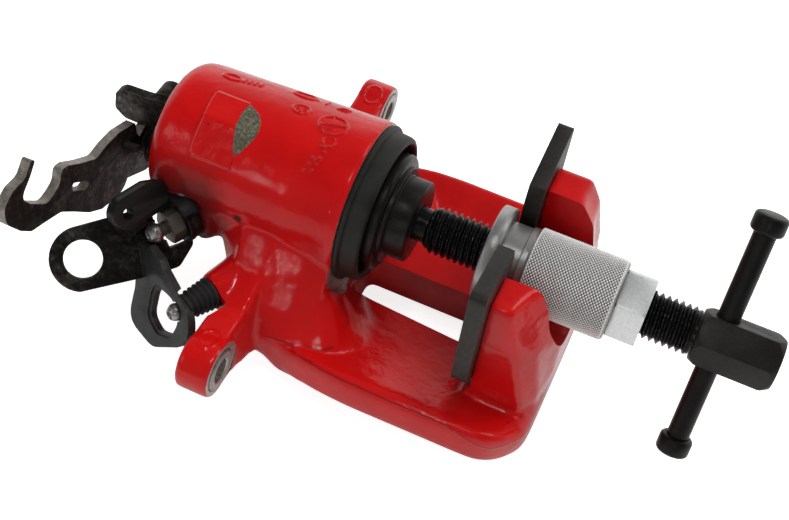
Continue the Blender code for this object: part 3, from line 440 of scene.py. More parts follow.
BROWN = satin_steel("brown_plate_v", (0.20, 0.175, 0.15), rough=(0.34, 0.5), brush=False,
                    brown=0.4, metal=0.75)
STRAP = worn_steel("strap_steel_v", strap=True)
PLATE = dark_steel("plate_oxide_v", dark=(0.024, 0.0215, 0.0185), light=(0.038, 0.034, 0.029),
                   rough=(0.40, 0.54), worn=(0.13, 0.11, 0.09), metal=0.5, wear=0.45)
ZINC = satin_steel("dull_zinc_v", (0.15, 0.135, 0.115), rough=(0.30, 0.48), brush=False,
                   brown=0.5)
KNURL = knurled_steel()
RAW_CUT = bare_casting()
MACHINED = machined_iron()
RUBBER = rubber("rubber_v", dark=(0.012, 0.012, 0.012), rough=0.55)
BOOT = rubber("boot_v", dark=(0.010, 0.0098, 0.0085), rough=0.50)


# ---- frames: matrices that place a piece built about local Z ----
def frame_for(axis, at):
    """Local Z along an axis, at a point in mm."""
    z = Vector(axis).normalized()
    x = Vector((0, 0, 1)).cross(z)
    x = Vector((1, 0, 0)) if x.length < 1e-6 else x.normalized()
    y = z.cross(x)
    place = Matrix((x, y, z)).transposed().to_4x4()
    place.translation = Vector(at) * MM
    return place


X_AXIS = Matrix(((0, 0, 1, 0), (0, 1, 0, 0), (-1, 0, 0, 0), (0, 0, 0, 1)))


def x_line(x, y, z):
    """Local Z along X, from a point in mm."""
    return Matrix.Translation((x * MM, y * MM, z * MM)) @ X_AXIS


# plate frames square to an axis; local x, y, z run along
PLANES = {'X': ((0, 0, 1), (1, 0, 0), (0, 1, 0)),       # +Y, +Z, +X
          'Y': ((1, 0, 0), (0, 0, -1), (0, 1, 0)),      # +X, +Z, -Y
          'Z': ((1, 0, 0), (0, 1, 0), (0, 0, 1))}       # +X, +Y, +Z


def across(axis, at):
    place = Matrix(PLANES[axis]).to_4x4()
    offset = Vector((0, 0, 0))
    offset["XYZ".index(axis)] = at
    place.translation = offset * MM
    return place


def on_bleed(distance):
    """Point on the bleed screw's axis."""
    return BLEED_AT + BLEED_AXIS * distance


def bleed_frame(distance):
    return frame_for(BLEED_AXIS, on_bleed(distance))


def on_stud(distance):
    """Point on the axis of the lower nipple stud."""
    return STUD_AT + BLEED_AXIS * distance


# ---- outlines, mm ----
def rounded(points, radius, steps):
    """Outline with its corners rounded; a point may carry its own radius as a third number."""
    out = []
    count = len(points)
    for i in range(count):
        corner = Vector(points[i][:2])
        r = points[i][2] if len(points[i]) > 2 else radius
        if r <= 0:
            out.append(tuple(corner))
            continue
        before = Vector(points[i - 1][:2]) - corner
        after = Vector(points[(i + 1) % count][:2]) - corner
        len_before, len_after = before.length, after.length
        before, after = before / len_before, after / len_after
        angle = acos(max(-1, min(1, before.dot(after))))
        if angle > radians(175):
            out.append(tuple(corner))
            continue
        reach = min(r / tan(angle / 2), 0.48 * len_before, 0.48 * len_after)
        for j in range(steps + 1):
            s = j / steps
            p = corner + before * reach * (1 - s) ** 2 + after * reach * s ** 2
            out.append((p.x, p.y))
    return out


def ring(cx, cy, radius, count):
    return [(cx + radius * cos(2 * pi * i / count), cy + radius * sin(2 * pi * i / count))
            for i in range(count)]


def arc(cx, cy, radius, angles):
    """Points at the given angles in degrees."""
    return [(cx + radius * cos(radians(a)), cy + radius * sin(radians(a))) for a in angles]


def sector(inner, outer, start, stop, step=3, cx=0, cy=0):
    """Part of a ring between two angles in degrees."""
    return (arc(cx, cy, outer, range(start, stop + 1, step))
            + arc(cx, cy, inner, range(stop, start - 1, -step)))


def half_circle(radius, steps):
    """Lower half circle, from -x to +x."""
    return [(radius * cos(a), radius * sin(a))
            for a in [pi + pi * i / steps for i in range(steps + 1)]]


def hexagon(flats, turn):
    radius = flats / 2 / cos(pi / 6)
    return [(radius * cos(turn + 2 * pi * i / 6), radius * sin(turn + 2 * pi * i / 6))
            for i in range(6)]


def scaled(points, factor, cx, cy):
    return [(cx + (x - cx) * factor, cy + (y - cy) * factor) for x, y in points]


# ---- pieces ----
def shade(piece, angle):
    piece.data.shade_smooth()
    piece.data.set_sharp_from_angle(angle=radians(angle))


def to_piece(mesh, smooth=True):
    piece = bpy.data.objects.new("piece", mesh)
    bpy.context.scene.collection.objects.link(piece)
    if smooth:
        shade(piece, 32)
    return piece


def from_bmesh(bm, place=None, smooth=True):
    mesh = bpy.data.meshes.new("piece")
    bm.to_mesh(mesh)
    bm.free()
    if place is not None:
        mesh.transform(place)
    return to_piece(mesh, smooth)


def recalc_normals(bm):
    bmesh.ops.recalc_face_normals(bm, faces=bm.faces)


def edit(mesh, change):
    """Run a bmesh change on a mesh."""
    bm = bmesh.new()
    bm.from_mesh(mesh)
    change(bm)
    bm.to_mesh(mesh)
    bm.free()


def turned(profile, segs, place=X_AXIS):
    """Solid of revolution from (x, radius) points. The first and last point lie on the
    axis, or the profile is a closed ring."""
    bm = bmesh.new()
    rings = []
    for a, r in profile:
        if r < 1e-6:
            rings.append([bm.verts.new((0, 0, a * MM))])
        else:
            rings.append([bm.verts.new((r * MM * cos(2 * pi * i / segs),
                                        r * MM * sin(2 * pi * i / segs), a * MM))
                          for i in range(segs)])
    pairs = list(zip(rings[:-1], rings[1:]))
    if profile[0][1] > 1e-6:
        pairs.append((rings[-1], rings[0]))
    for p, q in pairs:
        for i in range(segs):
            j = (i + 1) % segs
            if len(p) == 1:
                bm.faces.new((p[0], q[j], q[i]))
            elif len(q) == 1:
                bm.faces.new((p[i], p[j], q[0]))
            else:
                bm.faces.new((p[i], p[j], q[j], q[i]))
    recalc_normals(bm)
    return from_bmesh(bm, place)


def rod(start, end, radius, segs=24, end_radius=None):
    """Cylinder or cone between two points."""
    start, end = Vector(start), Vector(end)
    run = end - start
    bm = bmesh.new()
    bmesh.ops.create_cone(bm, cap_ends=True, segments=segs, radius1=radius * MM,
                          radius2=(radius if end_radius is None else end_radius) * MM,
                          depth=run.length * MM)
    return from_bmesh(bm, frame_for(run, (start + end) / 2))


def box(lo, hi):
    bm = bmesh.new()
    bmesh.ops.create_cube(bm, size=1.0)
    for v in bm.verts:
        v.co = Vector([(lo[k] + hi[k]) / 2 * MM + v.co[k] * (hi[k] - lo[k]) * MM
                       for k in range(3)])
    return from_bmesh(bm, smooth=False)


def mesh_of(curve):
    """Mesh of a curve in a new bmesh, with doubles welded and normals outward."""
    holder = bpy.data.objects.new("curve", curve)
    bpy.context.scene.collection.objects.link(holder)
    graph = bpy.context.evaluated_depsgraph_get()
    mesh = bpy.data.meshes.new_from_object(holder.evaluated_get(graph))
    bpy.data.objects.remove(holder, do_unlink=True)
    bm = bmesh.new()
    bm.from_mesh(mesh)
    bmesh.ops.remove_doubles(bm, verts=bm.verts, dist=1e-6)
    recalc_normals(bm)
    return bm


def add_spline(curve, points):
    spline = curve.splines.new('POLY')
    spline.points.add(len(points) - 1)
    for i, (x, y, z) in enumerate(points):
        spline.points[i].co = (x * MM, y * MM, z * MM, 1)
    return spline


def plate(outline, thickness, place, holes=()):
    """Flat plate from local z = -thickness to z = 0."""
    curve = bpy.data.curves.new("plate", 'CURVE')
    curve.dimensions = '2D'
    curve.fill_mode = 'BOTH'
    curve.extrude = thickness / 2 * MM
    for loop in [outline, *holes]:
        add_spline(curve, [(x, y, 0) for x, y in loop]).use_cyclic_u = True
    bm = mesh_of(curve)
    bmesh.ops.translate(bm, verts=bm.verts, vec=(0, 0, -thickness / 2 * MM))
    return from_bmesh(bm, place)


def coil(radius, wire, turns, x0, x1, z):
    """Wire coil about a line along X, 28 points to a turn."""
    curve = bpy.data.curves.new("coil", 'CURVE')
    curve.dimensions = '3D'
    curve.bevel_depth = wire / 2 * MM
    curve.bevel_resolution = 3
    curve.use_fill_caps = True
    count = int(turns * 28)
    points = []
    for i in range(count + 1):
        a = 2 * pi * i / 28
        points.append((x0 + (x1 - x0) * i / count, radius * cos(a), z + radius * sin(a)))
    add_spline(curve, points)
    return from_bmesh(mesh_of(curve), smooth=False)


def loft(sections):
    """Solid through sections with equal numbers of points."""
    bm = bmesh.new()
    loops = [[bm.verts.new(Vector(p) * MM) for p in s] for s in sections]
    count = len(loops[0])
    for a, b in zip(loops[:-1], loops[1:]):
        for i in range(count):
            j = (i + 1) % count
            bm.faces.new((a[i], a[j], b[j], b[i]))
    bm.faces.new(loops[0][::-1])
    bm.faces.new(loops[-1])
    recalc_normals(bm)
    return from_bmesh(bm, smooth=False)


def skin(xs, segs, radius_at, capped=True):
    """Skin about the X axis with radius radius_at(x, angle); xs ascend."""
    xs = np.asarray(xs, float)
    angles = np.arange(segs) * 2 * pi / segs
    X, T = np.meshgrid(xs, angles, indexing='ij')
    R = radius_at(X, T)
    points = np.stack([X, R * np.cos(T), R * np.sin(T)], -1).reshape(-1, 3) * MM
    i, j = np.meshgrid(np.arange(len(xs) - 1), np.arange(segs), indexing='ij')
    k = (j + 1) % segs
    quads = np.stack([i * segs + j, (i + 1) * segs + j, (i + 1) * segs + k, i * segs + k], -1)
    verts = [tuple(p) for p in points]
    faces = [tuple(int(n) for n in q) for q in quads.reshape(-1, 4)]
    if capped:
        first = len(verts)
        last = (len(xs) - 1) * segs
        verts += [(xs[0] * MM, 0, 0), (xs[-1] * MM, 0, 0)]
        faces += [(first, n, (n + 1) % segs) for n in range(segs)]
        faces += [(first + 1, last + (n + 1) % segs, last + n) for n in range(segs)]
    mesh = bpy.data.meshes.new("skin")
    mesh.from_pydata(verts, [], faces)
    edit(mesh, recalc_normals)
    return to_piece(mesh, smooth=False)


def bake(piece):
    """Replace a piece's mesh by its evaluated mesh."""
    graph = bpy.context.evaluated_depsgraph_get()
    mesh = bpy.data.meshes.new_from_object(piece.evaluated_get(graph))
    old = piece.data
    piece.modifiers.clear()
    piece.data = mesh
    bpy.data.meshes.remove(old)


def boolean(piece, other, operation='DIFFERENCE', transfer=False):
    """Combine with another piece, which is used up."""
    mod = piece.modifiers.new("boolean", 'BOOLEAN')
    mod.operation = operation
    mod.object = other
    mod.solver = 'EXACT'
    if transfer:
        mod.material_mode = 'TRANSFER'
    bake(piece)
    bpy.data.objects.remove(other, do_unlink=True)


def tidy(piece, dist=0.012):
    """Weld slivers left along cut edges."""
    def weld(bm):
        bmesh.ops.remove_doubles(bm, verts=bm.verts, dist=dist * MM)
        bmesh.ops.dissolve_degenerate(bm, edges=bm.edges, dist=dist * MM)
    edit(piece.data, weld)


def keep_largest(piece):
    """Keep the largest connected part."""
    def prune(bm):
        left, best = set(bm.verts), []
        while left:
            stack = [left.pop()]
            part = list(stack)
            while stack:
                for e in stack.pop().link_edges:
                    for v in e.verts:
                        if v in left:
                            left.discard(v)
                            stack.append(v)
                            part.append(v)
            if len(part) > len(best):
                best = part
        keep = set(best)
        bmesh.ops.delete(bm, geom=[v for v in bm.verts if v not in keep], context='VERTS')
    edit(piece.data, prune)


def fuse(piece, voxel, factor, turns):
    """Voxel skin, then smoothing: joins what overlaps and rounds every edge."""
    remesh = piece.modifiers.new("skin", 'REMESH')
    remesh.mode = 'VOXEL'
    remesh.voxel_size = voxel * MM
    smooth = piece.modifiers.new("round", 'SMOOTH')
    smooth.factor = factor
    smooth.iterations = turns
    bake(piece)


def bevel(piece, width, segs=2, angle=28):
    mod = piece.modifiers.new("edge", 'BEVEL')
    mod.width = width * MM
    mod.segments = segs
    mod.limit_method = 'ANGLE'
    mod.angle_limit = radians(angle)
    mod.miter_outer = 'MITER_ARC'
    mod.use_clamp_overlap = True
    mod.harden_normals = False
    bake(piece)


def paint(piece, material):
    piece.data.materials.clear()
    piece.data.materials.append(material)


def attach(piece, node):
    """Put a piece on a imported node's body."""
    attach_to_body(piece, BODY[node])


def show(piece, node, material=None, angle=32):
    """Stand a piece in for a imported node."""
    if material is not None:
        paint(piece, material)
    shade(piece, angle)
    piece.name = node + "_v"
    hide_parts(node)
    attach(piece, node)


def read_vectors(items, field):
    flat = np.empty(len(items) * 3)
    items.foreach_get(field, flat)
    return flat.reshape(-1, 3)


def store(mesh, name, values):
    layer = mesh.attributes.new(name, 'FLOAT', 'POINT')
    layer.data.foreach_set("value", values.astype(np.float32))


def ease(t):
    """Smooth step from 0 to 1."""
    t = np.clip(t, 0, 1)
    return t * t * (3 - 2 * t)


# ---- caliper casting ----
# stations (x, [(y, z)]) of the +Y side; the other side is mirrored
FLANK = [      # between cylinder and bridge
    (-46, [(0, -20), (24, -8), (27, -12), (26, -20), (20, -26), (0, -30)]),
    (-36, [(0, -20), (28, 0), (36, -14), (38, -27), (32, -40), (0, -44)]),
    (-24, [(0, -20), (30, 0), (46, -20), (50, -32), (46, -48), (0, -58)]),
    (-8, [(0, -20), (30.5, -3), (44, -21), (53, -34), (52, -50), (0, -60)]),
    (0.6, [(0, -20), (30.5, -6), (38, -19), (50, -33), (52, -50), (0, -60)])]
SHOULDER = [   # carries the flank on past the mouth, below the boot
    (-6, [(12, -30), (24, -18), (32, -8), (40, -19), (52, -35), (50, -48), (30, -52)]),
    (3, [(12, -36), (24, -25), (33, -18), (42, -25), (52, -36.5), (50, -48), (30, -52)]),
    (12, [(12, -42), (24, -35), (34, -31), (43, -32), (52, -38), (50, -48), (30, -52)]),
    (24, [(12, -46), (24, -42), (34, -40), (43, -39), (51, -41), (50, -48), (30, -52)])]
# stations (y, [(x, z)]) of the arm out to an ear
ARM = [
    (24, [(-35, 6), (-21, 6), (-16, -48), (-38, -48)]),
    (40, [(-34.5, -14), (-21, -12), (-17, -48), (-36, -47)]),
    (54, [(-34, -19.5), (-21.5, -19), (-19, -43), (-34, -43)]),
    (76, [(EAR_X0, -17.6), (-22, -17.6), (-22, -37.5), (EAR_X0, -37.5)])]
# stations of the finger wedge: z, half width, and the outer x of the -Y and of the +Y half
# at the side, at 0.76 and at 0.42 of the width (the -Y half is listed from the side in)
FINGERS = [
    (-52, 38.5, (81.5, 85.5, 86.4), (86.2, 86.6, 86.6)),
    (-32, 38.0, (80.5, 84.8, 86.4), (85.6, 86.4, 86.4)),
    (-8, FINGER_HALF, (75.5, 80.5, 86.0), (82.8, 83.0, 85.0)),
    (8, FINGER_HALF, (71.0, 75.5, 82.5), (79.0, 79.5, 82.0)),
    (FINGER_TOP + 1, FINGER_HALF - 0.6, (68.5, 71.5, 77.5), (74.5, 73.5, 76.0))]
# half of the bridge's plan: x, y, corner radius
BRIDGE_PLAN = [
    (WALL_X, 0, 0), (WALL_X, 44, 17), (76, BRIDGE_HALF + 0.5, 14), (20, BRIDGE_HALF + 0.8, 10),
    (-2, BRIDGE_HALF - 2, 8), (-10, 51.5, 5), (-17, 49.5, 5), (-26, 49.0, 4), (-38, 33, 10),
    (-46, 0, 0)]


def bridge_block():
    """The plan stood up, trimmed to the arc band and rounded."""
    mirrored = [(x, -y, r) for x, y, r in BRIDGE_PLAN[1:-1]][::-1]
    slab = plate(rounded(BRIDGE_PLAN + mirrored, 0, 6), 60, across('Z', -12))
    inner, outer = BRIDGE_ARC, BRIDGE_ARC + BRIDGE_T
    band = turned([(-60, inner), (-60, outer), (100, outer), (100, inner)], 160,
                  x_line(0, 0, BRIDGE_IN + BRIDGE_ARC))
    boolean(slab, band, 'INTERSECT')
    fuse(slab, voxel=2.0, factor=0.5, turns=22)
    return slab


def finger_section(z, w, near, far):
    x = FINGER_X - 1.5
    outline = [(x, -w), (x, w), (far[0], w), (far[1], w * 0.76), (far[2], w * 0.42),
               (0.5 * (far[2] + near[2]) + 0.4, 0),
               (near[2], -w * 0.42), (near[1], -w * 0.76), (near[0], -w)]
    return [(x, y, z) for x, y in outline]


def casting_blocks():
    cylinder = [(CYL_END, 0), (CYL_END, 24.0), (CYL_END + 1.2, 26.0),
                (CYL_END + 4, CYL_R_END - 0.3), (CYL_END + 8, CYL_R_END + 0.2),
                (-1, CYL_R_MOUTH), (0.6, CYL_R_MOUTH), (0.6, 0)]
    blocks = [turned(cylinder, 72), bridge_block()]
    for s in (-1, 1):
        for stations in (FLANK, SHOULDER):
            blocks.append(loft([[(x, s * y, z) for y, z in pts] for x, pts in stations]))
        blocks.append(loft([[(x, s * y, z) for x, z in pts] for y, pts in ARM]))
        blocks.append(rod((EAR_X0, s * EAR_Y, EAR_Z), (EAR_X1 + 0.8, s * EAR_Y, EAR_Z),
                          EAR_R, 40))
    # one wedge for both fingers; the throat is cut out afterwards
    blocks.append(loft([finger_section(*station) for station in FINGERS]))
    # bosses of the bleed screw and of the stud
    blocks.append(rod(on_bleed(-2.3), on_bleed(-22), 10.8, 32, end_radius=14.0))
    blocks.append(rod(on_stud(0.5), on_stud(-14), 7.0, 24, end_radius=9))
    return blocks


def cylinder_radius(x):
    """Radius of the cylinder's outside."""
    return (CYL_R_END + 0.2
            + (x - CYL_END - 8) / (-1 - CYL_END - 8) * (CYL_R_MOUTH - CYL_R_END - 0.2))


def bar_distance(u, v, cu, cv, half_u, half_v, turn=0.0):
    """Signed distance to a bar."""
    c, s = cos(turn), sin(turn)
    along, side = (u - cu) * c + (v - cv) * s, -(u - cu) * s + (v - cv) * c
    du, dv = np.abs(along) - half_u, np.abs(side) - half_v
    return (np.hypot(np.maximum(du, 0), np.maximum(dv, 0))
            + np.minimum(np.maximum(du, dv), 0))


def oval_distance(u, v, cu, cv, ru, rv, half_line):
    """Approximate distance to an oval line."""
    return np.abs(np.hypot((u - cu) / ru, (v - cv) / rv) - 1) * min(ru, rv) - half_line


def foundry_marks(x, angle):
    """Height of the blank foundry marks over the cylinder: ovals, bars and dots."""
    v = angle * 30.0
    height = np.zeros_like(x)

    def at(deg):
        return radians(deg) * 30.0

    def raise_by(distance, rise, soft=0.45):
        nonlocal height
        height = np.maximum(height, rise * ease((soft - distance) / (2 * soft)))

    # ovals: x, degrees, half axes, half line width, rise
    for cx, deg, rx, ry, line, rise in (
            (-16.2, 87, 5.2, 4.6, 0.30, 0.45), (-14.2, 101.5, 2.3, 2.0, 0.2, 0.3),
            (-33.0, 62, 4.6, 2.2, 0.30, 0.42), (-30.0, 82, 3.2, 2.4, 0.25, 0.35),
            (-60.2, 72.5, 3.4, 1.9, 0.3, 0.42)):
        raise_by(oval_distance(x, v, cx, at(deg), rx, ry, line), rise)
    # bars: x, degrees, half sizes, turn, rise
    bars = [(-16.2, 87, 4.2, 0.55, radians(-18), 0.55), (-17.2, 92, 2.2, 0.25, radians(-18), 0.35),
            (-24.0, 62, 0.35, 1.6, 0.2, 0.40)]
    bars += [(-17.6 + 0.5 * k, 66.5 - 2.2 * k, 2.1, 0.28, 0.1, 0.38) for k in range(3)]
    bars += [(-55.4 + 2.1 * k, 71.5 - 0.7 * k, 0.45, 1.5, 0.12, 0.40) for k in range(4)]
    for cx, deg, half_x, half_v, turn, rise in bars:
        raise_by(bar_distance(x, v, cx, at(deg), half_x, half_v, turn), rise)
    # two columns of dots, one with a gap, and four dots in the second oval from the left
    for i in range(5):
        raise_by(np.hypot(x - (-13.4 - 0.55 * i), v - at(105 + 4.8 * i)) - 0.45, 0.55, 0.4)
        if i != 1:
            raise_by(np.hypot(x - (-15.9 - 0.55 * i), v - at(106.5 + 4.8 * i)) - 0.45, 0.55, 0.4)
    for a in range(4):
        raise_by(np.hypot(x - (-30.0 + 1.5 * cos(a * 1.7)),
                          v - (at(82) + 1.1 * sin(a * 1.7))) - 0.35, 0.4, 0.35)
    return height * 1.7


def in_mark_zone(co):
    """Part of the cylinder's top that is meshed finer for the marks."""
    x, y, z = co.x / MM, co.y / MM, co.z / MM
    if not (-65.5 < x < -8.0) or z < 8:
        return False
    deg = degrees(atan2(z, y))
    if x < -44 and deg > 82:
        return False
    return 54 < deg < 133 and abs(hypot(y, z) - cylinder_radius(x)) < 1.2


def in_ear_zone(co):
    return -33.5 < co.x / MM < -21.5 and 62 < abs(co.y / MM) < 81 and co.z / MM > -21


def refine_marked(bm):
    edges = [e for e in bm.edges if all(in_mark_zone(v.co) for v in e.verts)
             or all(in_ear_zone(v.co) for v in e.verts)]
    bmesh.ops.subdivide_edges(bm, edges=edges, cuts=2, use_grid_fill=True)


def raw_casting():
    """The blocks fused into one casting, with its raised marks."""
    bm = bmesh.new()
    for block in casting_blocks():
        bm.from_mesh(block.data)
        bpy.data.objects.remove(block, do_unlink=True)
    piece = from_bmesh(bm, smooth=False)
    voxel = 0.95
    # smoothing turns grow as the voxels shrink, to keep the fillets alike
    fuse(piece, voxel, factor=0.6, turns=int(round(4 * (1.6 / voxel) ** 2)) + 3)
    mesh = piece.data
    mesh.materials.append(RED)
    edit(mesh, refine_marked)
    co = read_vectors(mesh.vertices, "co")
    x, y, z = co[:, 0] / MM, co[:, 1] / MM, co[:, 2] / MM
    radius = np.hypot(y, z)
    marked = (x > -66) & (x < -7) & (z > 8) & (np.abs(radius - cylinder_radius(x)) < 1.4)
    marked &= ~((x < -44) & (np.degrees(np.arctan2(z, y)) > 82))
    height = np.where(marked, foundry_marks(x, np.arctan2(z, y)), 0.0)
    grow = 1 + height / np.maximum(radius, 1e-6)
    co[:, 1] *= grow
    co[:, 2] *= grow
    # an oval on top of each ear
    ear = (x > -33.5) & (x < -21.5) & (np.abs(y) > 62) & (np.abs(y) < 81) & (z > -21)
    oval = oval_distance(x, np.abs(y), -27.4, 70.5, 3.4, 4.6, 0.35)
    co[:, 2] += np.where(ear, 0.45 * ease((0.5 - oval) / 1.0), 0) * MM
    mesh.vertices.foreach_set("co", co.reshape(-1))
    mesh.update()
    return piece


def store_paint_wear(mesh):
    """Attributes for the enamel: distance to parting line and rim, and darkening that is partly
    soil, partly painted shade.
    """
    co = read_vectors(mesh.vertices, "co") / MM
    normal = read_vectors(mesh.vertices, "normal")
    x, y, z = co.T
    side_normal = normal[:, 1] * np.sign(y)
    drop = ease((x - 58) / 24)
    seam = z - (-31.2 - 5.6 * drop - 0.15 * np.maximum(0, 53 - np.abs(y)) * (x > 80))
    outer = (np.abs(y) > 44) | (x > 78)
    outward = np.maximum(side_normal, np.where(x > 70, normal[:, 0], -1))
    seam = np.where(outer & (x > -14) & (outward > 0.15), seam, 9.0)
    radius = np.hypot(y, z)
    rim = np.where((radius > 26) & (radius < 33.6),
                   np.hypot(np.maximum(0, 31.0 - radius), x - 0.45), 9.0)
    # darkening: low on the near side of the closed end, a soiled spot in one small pit, and painted
    # shade on the inner flanks
    closed_end = (ease((-36.0 - x) / 17.0) * ease((radius - 24) / 6.0)
                  * ease((38.5 - radius) / 3.0))
    low = ease((22.0 - z) / 20.0) * ease((-y + 4) / 10.0)
    pit = np.exp(-((x + 37.8) ** 2 + (y + 29.7) ** 2 + (z + 0.1) ** 2) / 1.9 ** 2)
    # painted shade on the inner flanks, which face each other across the bridge
    inside = ease((x - 8) / 14) * ease((6 - z) / 12) * (side_normal < -0.5)
    soil_and_shade = np.maximum(np.maximum(closed_end * low, pit * 1.4), 0.45 * inside)
    for name, values in (("seam", seam), ("rim", rim), ("soil_and_shade", soil_and_shade)):
        store(mesh, name, values)


def housing():
    piece = raw_casting()

    def cut(tool, material=MACHINED):
        """Cut with a tool that leaves its own material."""
        paint(tool, material)
        boolean(piece, tool, transfer=True)

    window = [(2.5, -11.2), (52, -14.8), (52, 8.2), (2.5, 8.2)]
    cut(plate(rounded(window, 4, 6), 60, across('Z', -10)), RED)
    throat = [(-NOTCH_R, 40)] + half_circle(NOTCH_R, 40) + [(NOTCH_R, 40)]
    cut(plate(throat, 60, across('X', WALL_X + 14)), RED)
    # pad face
    cut(box((45, -44, -31.2), (FINGER_X, 44, 60)))
    bore = [(-60, 0), (-60, 18.5), (-58, BORE_R), (-13.2, BORE_R), (-13.2, 24.2), (-9, 24.2),
            (-9, BORE_R), (-3.5, BORE_R), (-3.5, 25.6), (0, 25.6), (0, 35.4), (7.5, 35.4),
            (7.5, 0)]
    cut(turned(bore, 96))
    # holes for the lever shaft and the stop screw
    cut(rod((-57, 0, PIVOT_Z), (CYL_END - 3, 0, PIVOT_Z), 8.3, 48))
    cut(rod((CYL_END - 3, STOP_Y, STOP_Z), (CYL_END + 11, STOP_Y, STOP_Z), 2.8))
    # spot faces and bush holes of the ears
    for s in (-1, 1):
        y = s * EAR_Y
        cut(rod((EAR_X1, y, EAR_Z), (EAR_X1 + 5, y, EAR_Z), 11.6, 64))
        cut(rod((EAR_X0 - 3, y, EAR_Z), (EAR_X1 + 3, y, EAR_Z), 8.3, 48))
    # faces and holes of the bleed screw and the stud
    cut(rod(on_bleed(-1.9), on_bleed(6), 12.5, 48), RED)
    cut(rod(on_bleed(2), on_bleed(-10), 5.3, 32))
    cut(rod(on_stud(0), on_stud(8), 10, 32), RED)
    cut(rod(on_stud(2), on_stud(-9), 4.3))
    show(piece, "caliper_housing", angle=38)
    store_paint_wear(piece.data)


housing()

# outline of the pad's ground ramp on the cylinder: angle in degrees, x
RAMP_LEFT = [(94, -47.4), (104, -48.0), (115, -47.3), (125, -46.2), (134, -44.6), (136, -44.0)]
RAMP_RIGHT = [(94.5, -47.4), (96, -45.6), (99, -42.6), (103, -40.8), (107, -39.7),
              (113.6, -39.0), (119, -39.4), (124, -40.5), (130, -42.0), (133, -43.3),
              (134.6, -44.6)]


def soft_min(a, b, blend):
    return -np.log(np.exp(-np.clip(a, 0, 60) / blend)
                   + np.exp(-np.clip(b, 0, 60) / blend)) * blend


def pad_surface():
    """Grids of x, angle, pad radius and cylinder radius, and a mask of the ground ramp."""
    X, P = np.meshgrid(np.arange(-63.5, -37.2, 0.2), np.radians(np.arange(88.0, 150.0, 0.36)),
                       indexing='ij')
    base = cylinder_radius(X)
    deg = np.degrees(P)

    def flat(start, end):
        """Radius of the flat through two (y, z) points."""
        (y0, z0), (y1, z1) = start, end
        ny, nz = z0 - z1, y1 - y0
        length = hypot(ny, nz)
        ny, nz = ny / length, nz / length
        offset = ny * y0 + nz * z0
        if offset < 0:
            ny, nz, offset = -ny, -nz, -offset
        return offset / (ny * np.cos(P) + nz * np.sin(P))

    ridge = (-14.0, 28.45)
    rise = (X + 55) * 0.02
    roof = soft_min(flat((-2.0, 29.3), ridge) + rise, flat(ridge, (-22.6, 18.9)) + rise,
                    0.35) + 0.10
    left = base + (X + 61.6) * 1.5 - 0.25 * np.abs(deg - 116) * 0.06
    top = soft_min(roof, left, 0.30)
    ramp_left = np.interp(deg, *zip(*RAMP_LEFT))
    ramp_right = np.interp(deg, *zip(*RAMP_RIGHT))
    down = (X - ramp_left) / np.maximum(ramp_right - ramp_left, 0.05)
    foot = base + 0.10
    ramp = foot + np.maximum(top - foot, 0.0) * np.clip(1 - down, 0, 1)
    radius = np.where(down > 0, np.minimum(ramp, top), top)
    radius = np.where(down > 1, foot - (X - ramp_right) * 0.9, radius)
    fall = np.maximum(0, 94.2 - deg) * 0.25 + np.maximum(0, deg - 143.5) * 0.3
    radius = np.maximum(radius - fall, base - 1.6)
    raw = (down > 0) & (down < 1) & (deg > 94.8) & (deg < 134.4)
    grain = (np.sin(X * 9.1 + 3 * np.sin(P * 71))
             * np.sin(P * 260 + 2 * np.sin(X * 5.3)) * 0.05)
    return X, P, radius + np.where(raw, grain, 0), base, raw


def cylinder_pad():
    """Raised pad on the cylinder: two flats meeting on a ridge, a ground ramp at the +X end."""
    X, P, radius, base, raw = pad_surface()
    outer, inner = [np.stack([X, r * np.cos(P), r * np.sin(P)], -1).reshape(-1, 3)
                    for r in (radius, base - 3)]
    points = np.concatenate([outer, inner]) * MM
    rows, cols = X.shape
    N = rows * cols     # offset to the inner layer
    faces, slots = [], []
    for i in range(rows - 1):
        for j in range(cols - 1):
            a, b = i * cols + j, (i + 1) * cols + j
            faces.append((a, b, b + 1, a + 1))
            slots.append(1 if raw[i:i + 2, j:j + 2].all() else 0)
            faces.append((N + a + 1, N + b + 1, N + b, N + a))
            slots.append(0)
    rim = [(i * cols + j, (i + 1) * cols + j) for i in range(rows - 1) for j in (0, cols - 1)]
    rim += [(i * cols + j, i * cols + j + 1) for j in range(cols - 1) for i in (0, rows - 1)]
    for a, b in rim:
        faces.append((a, b, N + b, N + a))
        slots.append(0)
    mesh = bpy.data.meshes.new("pad")
    mesh.from_pydata([tuple(p) for p in points], [], faces)
    mesh.materials.append(RED)
    mesh.materials.append(RAW_CUT)
    mesh.polygons.foreach_set("material_index", slots)
    edit(mesh, recalc_normals)
    piece = to_piece(mesh, smooth=False)
    shade(piece, 40)
    # far from seam and rim, with no soil and no painted shade
    for name, value in (("seam", 9.0), ("rim", 9.0), ("soil_and_shade", 0.0)):
        store(mesh, name, np.full(len(mesh.vertices), value))
    piece.name = "caliper_pad"
    attach(piece, "caliper_housing")


cylinder_pad()

# ---- bushes, seal, boot and piston ----
BUSH = [(EAR_X0 + 0.3, 4.4), (EAR_X0 + 0.3, 8.0), (EAR_X1 + 0.2, 8.0), (EAR_X1 + 0.6, 7.6),
        (EAR_X1 + 0.6, 5.0), (EAR_X1 + 0.1, 4.4)]
for s, node in ((-1, "guide_bush_near"), (1, "guide_bush_far")):
    show(turned(BUSH, 64, x_line(0, s * EAR_Y, EAR_Z)), node, MACHINED)

SEAL_R = PISTON_R + SEAL_GAP
show(turned([(-12.9, SEAL_R), (-12.9, 23.9), (-9.3, 23.9), (-9.3, SEAL_R)], 64),
     "piston_seal", RUBBER)

